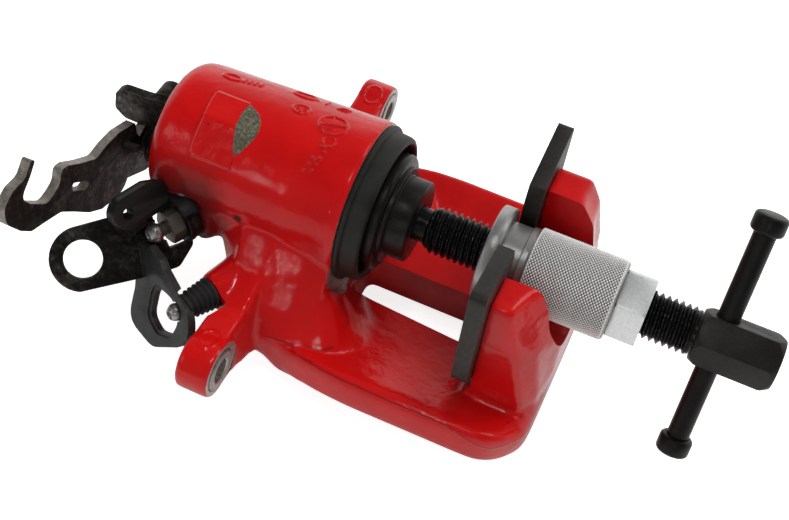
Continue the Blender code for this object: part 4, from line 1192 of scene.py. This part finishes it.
DUST_BOOT = [
    (-3.2, 22.0), (-3.2, 25.3), (0.3, 25.3), (0.3, 29.8), (0.7, 30.3), (1.3, 30.4),
    (1.9, 30.1), (2.2, 29.4), (2.5, 28.7), (4.0, 28.6), (7.4, 28.3), (8.3, 28.0),
    (8.8, 27.3), (8.9, 26.4), (8.7, 25.7), (8.1, 25.2), (6.0, 24.9), (3.6, 24.6),
    (3.4, 24.2), (3.4, 22.0)]
show(turned(DUST_BOOT, 128), "dust_boot", BOOT, angle=50)


def piston():
    skirt = PISTON_FACE - PISTON_LEN
    piece = turned([(-4, 0), (-4, 15.0), (skirt, 15.0), (skirt, PISTON_R), (3.8, PISTON_R),
                    (4.3, PISTON_R - 0.3), (PISTON_FACE, PISTON_R - 0.8), (PISTON_FACE, 0)], 96)
    for s in (-1, 1):
        boolean(piece, rod((1.6, s * DRIVE_Y, 0), (8, s * DRIVE_Y, 0), 2.6))
    show(piece, "caliper_piston", SILVER)


piston()

# ---- parking lever ----
PIVOT = x_line(0, 0, PIVOT_Z)
LEVER_SHAFT = [
    (-56.0, 0), (-56.0, 6.6), (-59.4, 6.6), (-59.4, 5.6), (-92.6, 5.6), (-92.6, 4.9),
    (-96.6, 4.9), (-97.3, 4.5), (-97.7, 3.7), (-97.5, 2.0), (-97.4, 0)]
show(turned(LEVER_SHAFT, 48, PIVOT), "lever_shaft", BARE)
SHAFT_SEAL = [(-75.0, 5.9), (-75.0, 8.0), (-78.6, 8.0), (-79.3, 6.8), (-79.3, 5.9)]
show(turned(SHAFT_SEAL, 48, PIVOT), "shaft_seal", RUBBER)
show(coil(radius=8.0, wire=2.2, turns=3.25, x0=-80.6, x1=-91.2, z=PIVOT_Z),
     "return_spring", BARE, angle=60)
show(coil(radius=11.6, wire=1.8, turns=5, x0=-13, x1=-43, z=0),
     "adjuster_spring", ZINC, angle=60)

# lever outline up to its hub: y, z, corner radius
LEVER = [
    (-19.5, -24.8, 8), (-34.5, -20.4, 5), (-42.5, -14.3, 8), (-51.0, -5.2, 5), (-58.2, 2.0, 6),
    (-68.6, 6.4, 6), (-75.0, 8.8, 6), (-80.4, 14.7, 8), (-86.2, 24.0, 8), (-86.0, 31.5, 7),
    (-80.0, 34.6, 4), (-73.4, 34.0, 4), (-68.8, 38.8, 2), (-66.9, 36.8, 2), (-70.9, 32.4, 4),
    (-77.0, 27.5, 5), (-73.0, 21.2, 6), (-65.0, 13.0, 6), (-60.0, 13.9, 5), (-56.4, 15.2, 4),
    (-54.6, 20.3, 3), (-50.8, 19.2, 4), (-43.7, 13.6, 5), (-34.4, 7.4, 4), (-27.7, 7.9, 4),
    (-19.4, 7.1, 5), (-7.9, 2.6, 2), (-7.4, -4.0, 1), (-5.4, -6.9, 0)]
LEVER_SLOT = [(-49.6, 8.9), (-42.0, 2.6), (-40.0, -0.6), (-43.0, -0.9), (-50.4, 5.2)]


def parking_lever():
    hub = (arc(0, PIVOT_Z, 8.2, range(110, 29, -8))
           + arc(0, PIVOT_Z, 15.5, range(26, -107, -8)))
    piece = plate(rounded(LEVER, 3, 8) + hub, 3.5, across('X', LEVER_X),
                  holes=[ring(0, PIVOT_Z, 5.3, 40), rounded(LEVER_SLOT, 1.8, 6)])
    bevel(piece, 0.45, 3)
    show(piece, "parking_lever", STRAP)


parking_lever()
show(turned([(0.3, 0), (0.3, 1.9), (5.4, 1.9), (5.9, 1.5), (6.0, 0)], 32,
            x_line(LEVER_X, -16.0, -1.9)), "spring_pin", ZINC)


# ---- stop bracket ----
def stop_bracket():
    """Upright plate, foot screwed to the closed end, and a curved lip."""
    upright = [(-105.6, -0.5, 3), (-101.5, -4.2, 4), (-95, -4.3, 4), (-86, -1.8, 4),
               (-79.2, -0.9, 0), (-79.2, 13.2, 0), (-92, 11.4, 6), (-101.5, 10.8, 4),
               (-104.6, 8.0, 3)]
    foot = [(-1.3, 0.8), (19.0, 0.8), (19.0, 14.1), (-1.3, 14.1)]
    piece = plate(rounded(upright, 3, 6), 3.6, across('Y', -2.0))
    boolean(piece, plate(rounded(foot, 3, 6), 2.6, across('X', CYL_END - 0.3),
                         holes=[ring(STOP_Y, STOP_Z, 3.0, 32)]), 'UNION')
    lip = sector(3.2, 6.0, -20, 220, 8, cx=-84.5, cy=8.0)
    boolean(piece, plate(lip, 8.0, across('Y', 0.6)), 'UNION')
    tidy(piece, 0.03)
    bevel(piece, 0.4)
    show(piece, "stop_bracket", BARE)


stop_bracket()
# x from the closed end, radius
STOP_SCREW = [(-6.6, 0), (-6.6, 3.8), (-6.2, 4.4), (-5.6, 4.6), (-3.2, 4.6), (-3.2, 2.5),
              (9, 2.5), (9, 0)]
show(turned([(CYL_END + x, r) for x, r in STOP_SCREW], 48, x_line(0, STOP_Y, STOP_Z)),
     "stop_screw", ZINC)

# ---- brackets under the bleed screw ----
# arm of the spring bracket, in its own plane
ARM_NORMAL = Vector((0.875, -0.26, 0.409))
ARM_AT = Vector((-65.2, -33.8, -7.6))
ARM_OUTLINE = rounded([
    (-21.5, 11.2, 5), (-19.3, 4.4, 5), (-12.0, 0.4, 6), (-4, -1.5, 4), (6.5, -6.5, 4),
    (11, 2.0, 4), (4.0, 11.5, 5), (-3, 14.8, 4), (-16.5, 15.6, 6)], 3, 8)


def spring_bracket():
    """Flange under the screw, an arm, and two tabs at the flange's edge."""
    piece = plate(ring(0, 0, 8.4, 72), 2.4, bleed_frame(0.8))
    boolean(piece, plate(ARM_OUTLINE, 4.2, frame_for(ARM_NORMAL, ARM_AT),
                         holes=[ring(-14.6, 8.6, 2.3, 32)]), 'UNION')
    boolean(piece, plate(sector(7.4, 12.0, 52, 88), 2.2, bleed_frame(0.7)), 'UNION')
    boolean(piece, plate(sector(9.4, 11.6, 54, 128), 4.6, bleed_frame(4.7)), 'UNION')
    # room for the boss, the screw and the parts stacked on it
    stack = [(-30, 0), (-30, 11.4), (-1.6, 11.4), (-1.6, 5.3), (1.1, 5.3), (1.1, 9.1),
             (3.7, 9.1), (3.7, 7.3), (30, 7.3), (30, 0)]
    boolean(piece, turned(stack, 64, bleed_frame(0)))
    boolean(piece, rod((-90, 0, 0), (-40, 0, 0), 29.0, 96))
    tidy(piece, 0.03)
    keep_largest(piece)
    bevel(piece, 0.4)
    show(piece, "spring_bracket", COATED)


spring_bracket()

# plate with the cable eye; it is cut to clear its neighbours further on
EYE_AT = (-30.0, -7.4)
EYE_REST = rounded([(-6.8, -16.4, 0), (4.5, -14.0, 4), (10.5, -6.0, 4), (9.0, 6.0, 4),
                    (2.0, 11.6, 3), (-7.7, 8.8, 0)], 0, 6)
eye = plate(arc(*EYE_AT, 12.2, range(104, 263, 5)) + EYE_REST, 3.0,
            frame_for(Vector((0.41, -0.56, 0.72)), (-64, -38, -13)),
            holes=[ring(*EYE_AT, 7.1, 72)])

HOSE_NORMAL = Vector((-0.5, -0.8, 0.33)).normalized()
HOSE_AT = Vector((-67.2, -45.3, -11.9))
HOSE_OUTLINE = [
    (-3.2, -6.0, 3), (1.2, -1.2, 4), (11.0, -0.6, 4), (14.6, -2.2, 3), (35.0, -5.6, 8),
    (39.2, -13.0, 7), (36.6, -20.5, 9), (23.0, -34.4, 11), (5.2, -36.9, 11), (3.0, -22.0, 6)]
D_WINDOW = rounded([(13.0, -11.2, 6), (24.0, -8.2, 7), (31.0, -13.0, 6), (30.0, -21.4, 6),
                    (23.0, -26.2, 5), (15.4, -25.2, 6)], 3, 8)


def hose_bracket():
    piece = plate(rounded(HOSE_OUTLINE, 4, 8), 3.2, frame_for(HOSE_NORMAL, HOSE_AT),
                  holes=[D_WINDOW])
    # shallow stepped seat round the D window
    cx, cy = [sum(values) / len(D_WINDOW) for values in zip(*D_WINDOW)]
    boolean(piece, plate(scaled(D_WINDOW, 1.16, cx, cy), 1.2,
                         frame_for(HOSE_NORMAL, HOSE_AT + HOSE_NORMAL * 0.5)))
    boolean(piece, rod(on_bleed(9), on_bleed(32), 4.1, 40))
    boolean(piece, turned([(-4, 0), (-4, 6.9), (12.6, 6.9), (12.6, 3.8), (26, 3.8), (26, 0)],
                          40, frame_for(BLEED_AXIS, STUD_AT)))
    tidy(piece)
    keep_largest(piece)
    bevel(piece, 0.4, 3)
    show(piece, "hose_bracket", PHOSPHATE)


hose_bracket()


def finish_eye():
    """Clear the bleed stack, the hose bracket and the spring bracket's arm; add a washer."""
    stack = [(-30, 0), (-30, 11.6), (-1.4, 11.6), (-1.4, 8.8), (1.1, 8.8), (1.1, 7.6),
             (10.9, 7.6), (10.9, 4.1), (32, 4.1), (32, 0)]
    boolean(eye, turned(stack, 48, bleed_frame(0)))
    hose_room = [(-4.5, 4.5), (0.5, 11), (20, 10), (42, -5), (42, -20), (24, -37), (2, -38),
                 (1.8, -22)]
    boolean(eye, plate(hose_room, 4.0, frame_for(HOSE_NORMAL, HOSE_AT + HOSE_NORMAL * 0.4)))
    boolean(eye, plate(scaled(ARM_OUTLINE, 1.09, -5, 5), 5.4,
                       frame_for(ARM_NORMAL, ARM_AT + ARM_NORMAL.normalized() * 0.6)))
    boolean(eye, plate(ring(0, 0, 8.8, 48), 2.3, bleed_frame(3.4)), 'UNION')
    boolean(eye, rod(on_bleed(0), on_bleed(3.5), 5.3, 32))
    tidy(eye)
    keep_largest(eye)
    bevel(eye, 0.35)
    show(eye, "cable_eye_bracket", BARE)


finish_eye()


# ---- bleed screw and stud ----
NECK_R = 2.6


def nipple(node, base, seat, shank_r, shank_len, tip, tip_r, hex_af=0, hex_len=0):
    """Shank, neck and hollow nipple that starts at `tip`; the nipple is brighter."""
    place = frame_for(BLEED_AXIS, base)
    end = seat - shank_len
    profile = [(end, 0), (end, shank_r - 0.8), (end + 0.8, shank_r), (seat + 1, shank_r),
               (seat + 1, NECK_R), (tip - 0.3, NECK_R), (tip + 0.2, NECK_R + 0.3),
               (tip + 0.9, tip_r - 0.1), (tip + 1.8, tip_r + 0.25), (tip + 2.8, tip_r + 0.25),
               (tip + 3.6, tip_r - 0.1), (tip + 4.5, tip_r - 0.65), (tip + 5.0, tip_r - 1.1),
               (tip + 5.2, tip_r - 1.4), (tip + 5.2, 1.8), (tip + 4.8, 1.6), (tip + 1.0, 1.6),
               (tip + 1.0, 0)]
    body = turned(profile, 48, place)
    if hex_af:
        top = seat + hex_len
        head = plate(hexagon(hex_af, 0.35), hex_len,
                     place @ Matrix.Translation((0, 0, top * MM)))
        chamfer = turned([(seat - 0.1, 0), (seat - 0.1, hex_af * 0.53),
                          (seat + 0.9, hex_af * 0.6), (top - 0.9, hex_af * 0.6),
                          (top + 0.1, hex_af * 0.53), (top + 0.1, 0)], 48, place)
        boolean(head, chamfer, 'INTERSECT')
        boolean(body, head, 'UNION')
    paint(body, BROWN)
    body.data.materials.append(GROUND)
    inverse = place.inverted()
    for face in body.data.polygons:
        if (inverse @ face.center).z / MM > tip - 0.8:
            face.material_index = 1
    show(body, node)


nipple("bleed_screw", BLEED_AT, seat=3.7, shank_r=4.9, shank_len=12.0, tip=11.3, tip_r=3.6,
       hex_af=12.0, hex_len=5.2)
nipple("lower_nipple_stud", STUD_AT, seat=0.4, shank_r=3.9, shank_len=8.0, tip=13.4, tip_r=3.1)

# five folds between a collar and a lip
FOLDS = [(0.9 + 2.0 * i + 2.0 * t / 6, 5.7 - 0.22 * i + 0.7 * cos(2 * pi * t / 6 - 0.6))
         for i in range(5) for t in range(6)]
BELLOWS = ([(1.9, 3.0), (1.9, 4.2), (0.4, 4.2), (0.4, 6.0)] + FOLDS
           + [(11.2, 5.0), (11.9, 4.8), (12.2, 4.3), (12.2, 3.0)])
show(turned(BELLOWS, 48, frame_for(BLEED_AXIS, STUD_AT)), "stud_bellows", RUBBER, angle=60)

# ---- wind-back tool: adapter disc and drive pins ----
DISC = [
    (14.5, 0), (14.5, 6.8), (21.0, 6.8), (21.3, 7.1), (21.3, 15.0), (21.1, 15.4), (20.7, 15.6),
    (13.8, 15.6), (13.5, 15.9), (13.5, 18.2), (13.2, 18.5), (12.2, 18.6), (12.1, 18.9),
    (12.1, 21.2), (11.8, 21.8), (11.3, 22.3), (10.7, 22.5), (8.2, 22.5), (7.5, 22.2),
    (7.1, 21.6), (6.7, 20.5), (6.7, 0)]
disc = turned(DISC, 128)
for s in (-1, 1):
    boolean(disc, rod((5, s * DRIVE_Y, 0), (12.0, s * DRIVE_Y, 0), 2.4))
show(disc, "adapter_disc", TURNED)
PIN = [(2.0, 0), (2.0, 1.6), (2.5, 2.1), (11.3, 2.1), (11.6, 1.8), (11.6, 0)]
for s, node in ((-1, "drive_pin_a"), (1, "drive_pin_b")):
    show(turned(PIN, 32, x_line(0, s * DRIVE_Y, 0)), node, GROUND)

# ---- spindle ----
THREAD_START = 25.6


def spindle_radius(x, angle):
    """Plain pilot, then a thread that runs out under an envelope at both ends."""
    turn = (x / PITCH - angle / (2 * pi)) % 1.0
    ridge = np.abs(turn * 2 - 1)                    # 0 at the root, 1 at the crest
    flank = np.clip((ridge - 0.10) / 0.80, 0, 1)    # narrow flat root and crest
    thread = SPINDLE_R - THREAD_DEPTH * (1 - flank)
    envelope = np.interp(x, [14.8, 15.3, 25.0, 25.7, 26.6, 29.0, 125.5, 127.9],
                         [5.9, 6.5, 6.5, 6.9, 7.6, 9.0, 9.0, 8.2])
    plain = np.interp(x, [14.8, 15.3, 25.6, 26.4, 125.0, 127.0],
                      [5.9, 6.5, 6.5, 7.3, 7.3, 8.2])
    threaded = np.maximum(np.minimum(thread, envelope), np.minimum(plain, envelope))
    return np.where(x < THREAD_START, plain, threaded)


spindle_x = np.concatenate([[14.8, 15.0, 15.3, 20.0, 24.8],
                            np.arange(25.2, 127.85, PITCH / 14), [127.9]])
show(skin(spindle_x, 96, spindle_radius), "spindle_screw", THREAD, angle=24)


# ---- handle block and T bar ----
def handle_block():
    piece = plate(hexagon(BLOCK_AF, TBAR_ANG + pi / 6), 29.6, across('X', 158.0))
    chamfer = [(127.0, 0), (127.0, 8.6), (130.6, 10.6), (133, 11.6), (153, 11.6),
               (155.4, 10.6), (158.4, 8.8), (158.4, 0)]
    boolean(piece, turned(chamfer, 96), 'INTERSECT')
    boolean(piece, rod(TBAR_AT - TBAR_DIR * 20, TBAR_AT + TBAR_DIR * 20, TBAR_R + 0.25, 64))
    bevel(piece, 0.45, 3, 18)
    show(piece, "handle_block", BLACK)


handle_block()
TBAR_FRAME = frame_for(TBAR_DIR, TBAR_AT)
T_BAR = [(-44.0, 0), (-44.0, TBAR_R - 0.3), (-43.7, TBAR_R), (47.4, TBAR_R),
         (47.7, TBAR_R - 0.3), (47.7, 0)]
show(turned(T_BAR, 64, TBAR_FRAME), "t_bar", TURNED)
# caps: inner and outer end along the bar
for node, a, b in (("t_bar_cap_upper", 42.4, 49.3), ("t_bar_cap_lower", -38.7, -45.6)):
    s = 1 if b > a else -1
    cap = [(b - 1.2 * s, 0), (b - 1.2 * s, TBAR_R + 0.2), (a, TBAR_R + 0.2), (a, 5.0),
           (a + 0.3 * s, 5.5), (a + 0.8 * s, 5.9), (a + 1.4 * s, 6.1), (b - 1.3 * s, 6.1),
           (b - 0.7 * s, 5.9), (b - 0.25 * s, 5.5), (b, 4.9), (b, 0)]
    show(turned(cap, 64, TBAR_FRAME), node, TURNED, angle=50)

# ---- knurled sleeve ----
# outside before knurling: x, radius (flange, neck, knurled grip)
SLEEVE = [
    (49.0, 17.3), (49.25, 17.8), (49.7, 18.0), (53.6, 18.0), (54.05, 17.8), (54.3, 17.3),
    (54.31, 13.9), (54.5, 13.5), (61.7, 13.5), (61.9, 13.8), (61.91, 13.9), (62.2, 14.2),
    (64.0, 14.2), (64.4, 14.2), (64.6, 14.35), (64.9, 14.9), (65.4, KNURL_R), (97.2, KNURL_R),
    (97.9, 14.9), (98.2, 14.5), (98.5, 14.0)]
KNURL_COUNT = 62.0                                          # grooves round the grip
KNURL_TWIST = KNURL_COUNT / KNURL_R * tan(radians(52))      # phase per mm along x
SLEEVE_X = [49.0, 49.25, 49.7, 51.6, 53.6, 54.05, 54.3, 54.31, 54.5, 58.0, 61.7, 61.9, 61.91,
            62.2, 64.0, 64.4, 64.6]


def sleeve_radius(x, angle):
    """Two crossed sets of grooves, fading at both ends of the grip."""
    u = (KNURL_COUNT * angle + KNURL_TWIST * x) / (2 * pi)
    v = (KNURL_COUNT * angle - KNURL_TWIST * x) / (2 * pi)
    ridge_u, ridge_v = np.abs((u % 1) * 2 - 1), np.abs((v % 1) * 2 - 1)
    groove = np.clip((np.maximum(1 - ridge_u, 1 - ridge_v) - 0.18) / 0.82, 0, 1)
    fade = np.clip((x - 64.9) / 0.7, 0, 1) * np.clip((97.8 - x) / 0.7, 0, 1)
    return np.interp(x, *zip(*SLEEVE)) - KNURL_DEPTH * groove * fade


def knurled_sleeve():
    step = 0.17
    segs = 560
    xs = np.concatenate([SLEEVE_X, np.arange(64.9, 98.0, step), [98.2, 98.5]])
    piece = skin(xs, segs, sleeve_radius, capped=False)
    mesh = piece.data

    def close_bore(bm):
        """Add end faces and the inner wall, with a chamfer at the -X end."""
        bm.verts.ensure_lookup_table()
        last = (len(xs) - 1) * segs
        rings = [[bm.verts[i] for i in range(segs)]]
        for x, r in ((xs[0], SLEEVE_BORE + 0.6), (xs[0] + 0.6, SLEEVE_BORE),
                     (xs[-1], SLEEVE_BORE)):
            rings.append([bm.verts.new((x * MM, r * MM * cos(2 * pi * i / segs),
                                        r * MM * sin(2 * pi * i / segs)))
                          for i in range(segs)])
        rings.append([bm.verts[i] for i in outer_end(bm, last)])
        for a, b in zip(rings[:-1], rings[1:]):
            for i in range(segs):
                j = (i + 1) % segs
                bm.faces.new((a[i], a[j], b[j], b[i]))
        recalc_normals(bm)

    def outer_end(bm, last):
        """Indices of the skin's last ring, looked up again after adding vertices."""
        bm.verts.ensure_lookup_table()
        return range(last, last + segs)

    edit(mesh, close_bore)
    x, y, z = (read_vectors(mesh.vertices, "co") / MM).T
    radius = np.hypot(y, z)
    depth = np.where((x > 64.9) & (x < 97.9) & (radius > 12), (KNURL_R - radius) / KNURL_DEPTH, 0.0)
    store(mesh, "depth", np.clip(depth, 0, 1))
    mesh.materials.append(SILVER)
    mesh.materials.append(KNURL)
    x, y, z = (read_vectors(mesh.polygons, "center") / MM).T
    grip = (x > 65.0) & (x < 97.9) & (np.hypot(y, z) > 12)
    mesh.polygons.foreach_set("material_index", grip.astype(np.int32))
    show(piece, "knurled_sleeve", angle=40)


def sleeve_hexagon():
    piece = plate(hexagon(HEX_AF, radians(15)), 11.1, across('X', 109.7),
                  holes=[ring(0, 0, SLEEVE_BORE, 96)])
    chamfer = [(98.0, 0), (98.0, 12.9), (98.6, 13.1), (99.6, 14.2), (108.6, 14.2),
               (110.4, 12.5), (110.4, 0)]
    boolean(piece, turned(chamfer, 96), 'INTERSECT')
    bevel(piece, 0.25, 2, 20)
    paint(piece, HEX_STEEL)
    shade(piece, 25)
    piece.name = "knurled_sleeve_hexagon"
    attach(piece, "knurled_sleeve")


knurled_sleeve()
sleeve_hexagon()


# ---- reaction plate ----
def reaction_plate():
    """Plate with an upward open round slot over the sleeve's neck."""
    slot = 14.2
    left = [(-15.5, 24.0, 1), (-46.0, 30.0, 3), (-46.0, -17.5, 5), (-36.5, -26.5, 6)]
    right = [(-y, z, r) for y, z, r in left[::-1]]
    bottom = [(y, z, 0) for y, z in half_circle(slot, 28)[::-1]]
    outline = left + right + [(slot, 18.0, 3)] + bottom + [(-slot, 18.0, 3)]
    piece = plate(rounded(outline, 2, 6), 6.0, across('X', 61.0))
    bevel(piece, 0.5, 3)
    show(piece, "reaction_plate", PLATE)


reaction_plate()

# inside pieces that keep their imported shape
for node in ("adjuster_nut", "adjuster_screw", "shaft_bush"):
    paint(frame["nodes"][node], ZINC)

# ---- floor ----
FLOOR_GLOW = 0.80        # seen by the camera only, so just a faint contact shadow is left
FLOOR_DROP = 0.0004      # below the lowest packed point

bpy.ops.mesh.primitive_plane_add(size=6.0, location=(0, 0, CAD_LO[2] - FLOOR_DROP))
floor = bpy.context.object
floor.name = "floor"
net = Net(bpy.data.materials.new("floor_white"))
seen = net.add("ShaderNodeLightPath").outputs["Is Camera Ray"]
floor.data.materials.append(net.finish(color=(0.90, 0.90, 0.90), rough=0.9, spec=0.1,
                                       emission=(1, 1, 1),
                                       glow=net.remap(seen, 0, 1, to=(0, FLOOR_GLOW))))

# ---- world ----
DIFFUSE_LIGHT = 0.38     # strength for all but camera and glossy rays
HORIZON = 1.05           # strength in reflections, low down
CEILING = 0.10           # and overhead
NEAR_SHARE = 0.12        # share of that left on the -Y side

world = bpy.data.worlds.new("studio")
bpy.context.scene.world = world
net = Net(world)
background = net.tree.nodes["Background"]
background.inputs["Color"].default_value = (1, 1, 1, 1)
rays = net.add("ShaderNodeLightPath").outputs
split = net.add("ShaderNodeSeparateXYZ")
net.feed(split.inputs[0], net.add("ShaderNodeTexCoord").outputs["Generated"])
# reflections see a pale horizon and a dim ceiling, as in a light tent
height = net.remap(split.outputs[2], 0.15, 0.85, to=(HORIZON, CEILING), ease='SMOOTHSTEP')
side = net.remap(split.outputs[1], -0.15, 0.45, to=(NEAR_SHARE, 1), ease='SMOOTHSTEP')
glossy = net.mix_value(rays["Is Glossy Ray"], DIFFUSE_LIGHT, net.times(height, side))
net.feed(background.inputs["Strength"], net.mix_value(rays["Is Camera Ray"], glossy, 1.0))

# ---- lamps ----
AIM = Vector((0.01, 0, 0))
# name, direction from AIM, width, height, radiance in W/sr/m2, distance, seen in reflections
LAMPS = [
    ("key", (0.15, 0.42, 0.90), 0.8, 0.8, 3.6, 1.2, False),
    ("fill", (0.5, -0.75, 0.42), 0.6, 0.6, 1.0, 1.2, False),
    ("overhead", (0.0, -0.27, 0.96), 0.06, 0.11, 38.0, 1.0, True),
    ("front_a", (-0.07, -0.93, 0.36), 0.012, 0.045, 75.0, 1.0, True),
    ("front_b", (0.16, -0.86, 0.48), 0.02, 0.07, 62.0, 1.0, True),
    ("front_c", (-0.44, -0.82, 0.34), 0.010, 0.06, 60.0, 1.0, True),
    ("left", (-0.60, -0.62, 0.50), 0.30, 0.30, 1.6, 1.0, True),
    ("high_back", (0.35, 0.45, 0.82), 0.35, 0.25, 3.0, 1.0, True)]
for name, direction, wide, high, radiance, distance, reflected in LAMPS:
    light = bpy.data.lights.new(name, 'AREA')
    light.shape = 'RECTANGLE'
    light.size, light.size_y = wide, high
    light.energy = radiance * pi * wide * high
    lamp = bpy.data.objects.new(name, light)
    bpy.context.scene.collection.objects.link(lamp)
    place = AIM + Vector(direction).normalized() * distance
    lamp.location = place
    lamp.rotation_euler = (AIM - place).to_track_quat('-Z', 'Y').to_euler()
    lamp.visible_glossy = reflected

# ---- camera ----
CAM_TURN, CAM_ROLL, CAM_PITCH = radians(22.04), radians(10.5), radians(38.0)
CAM_AT = Vector((0.10343, -0.29575, 0.35249))

camera = bpy.data.cameras.new("camera")
camera_object = bpy.data.objects.new("camera", camera)
bpy.context.scene.collection.objects.link(camera_object)
along = Vector((cos(CAM_TURN), -sin(CAM_TURN), 0))
ahead = Vector((sin(CAM_TURN), cos(CAM_TURN), 0))
up = Vector((0, 0, 1))
row_x = along * cos(CAM_ROLL) + up * sin(CAM_ROLL)
row_y = (ahead * cos(CAM_PITCH)
         + (along * sin(CAM_ROLL) - up * cos(CAM_ROLL)) * sin(CAM_PITCH))
# rows: the model's axes seen by the camera
place = Matrix((row_x, row_y, row_x.cross(row_y))).to_4x4()
place.translation = CAM_AT
camera_object.matrix_world = place
camera.sensor_width = 36.0
camera.lens = 57.946768
camera.clip_start = 0.01
camera.clip_end = 20
bpy.context.scene.camera = camera_object
bpy.context.scene.view_settings.view_transform = 'Standard'
bpy.context.scene.view_settings.look = 'None'
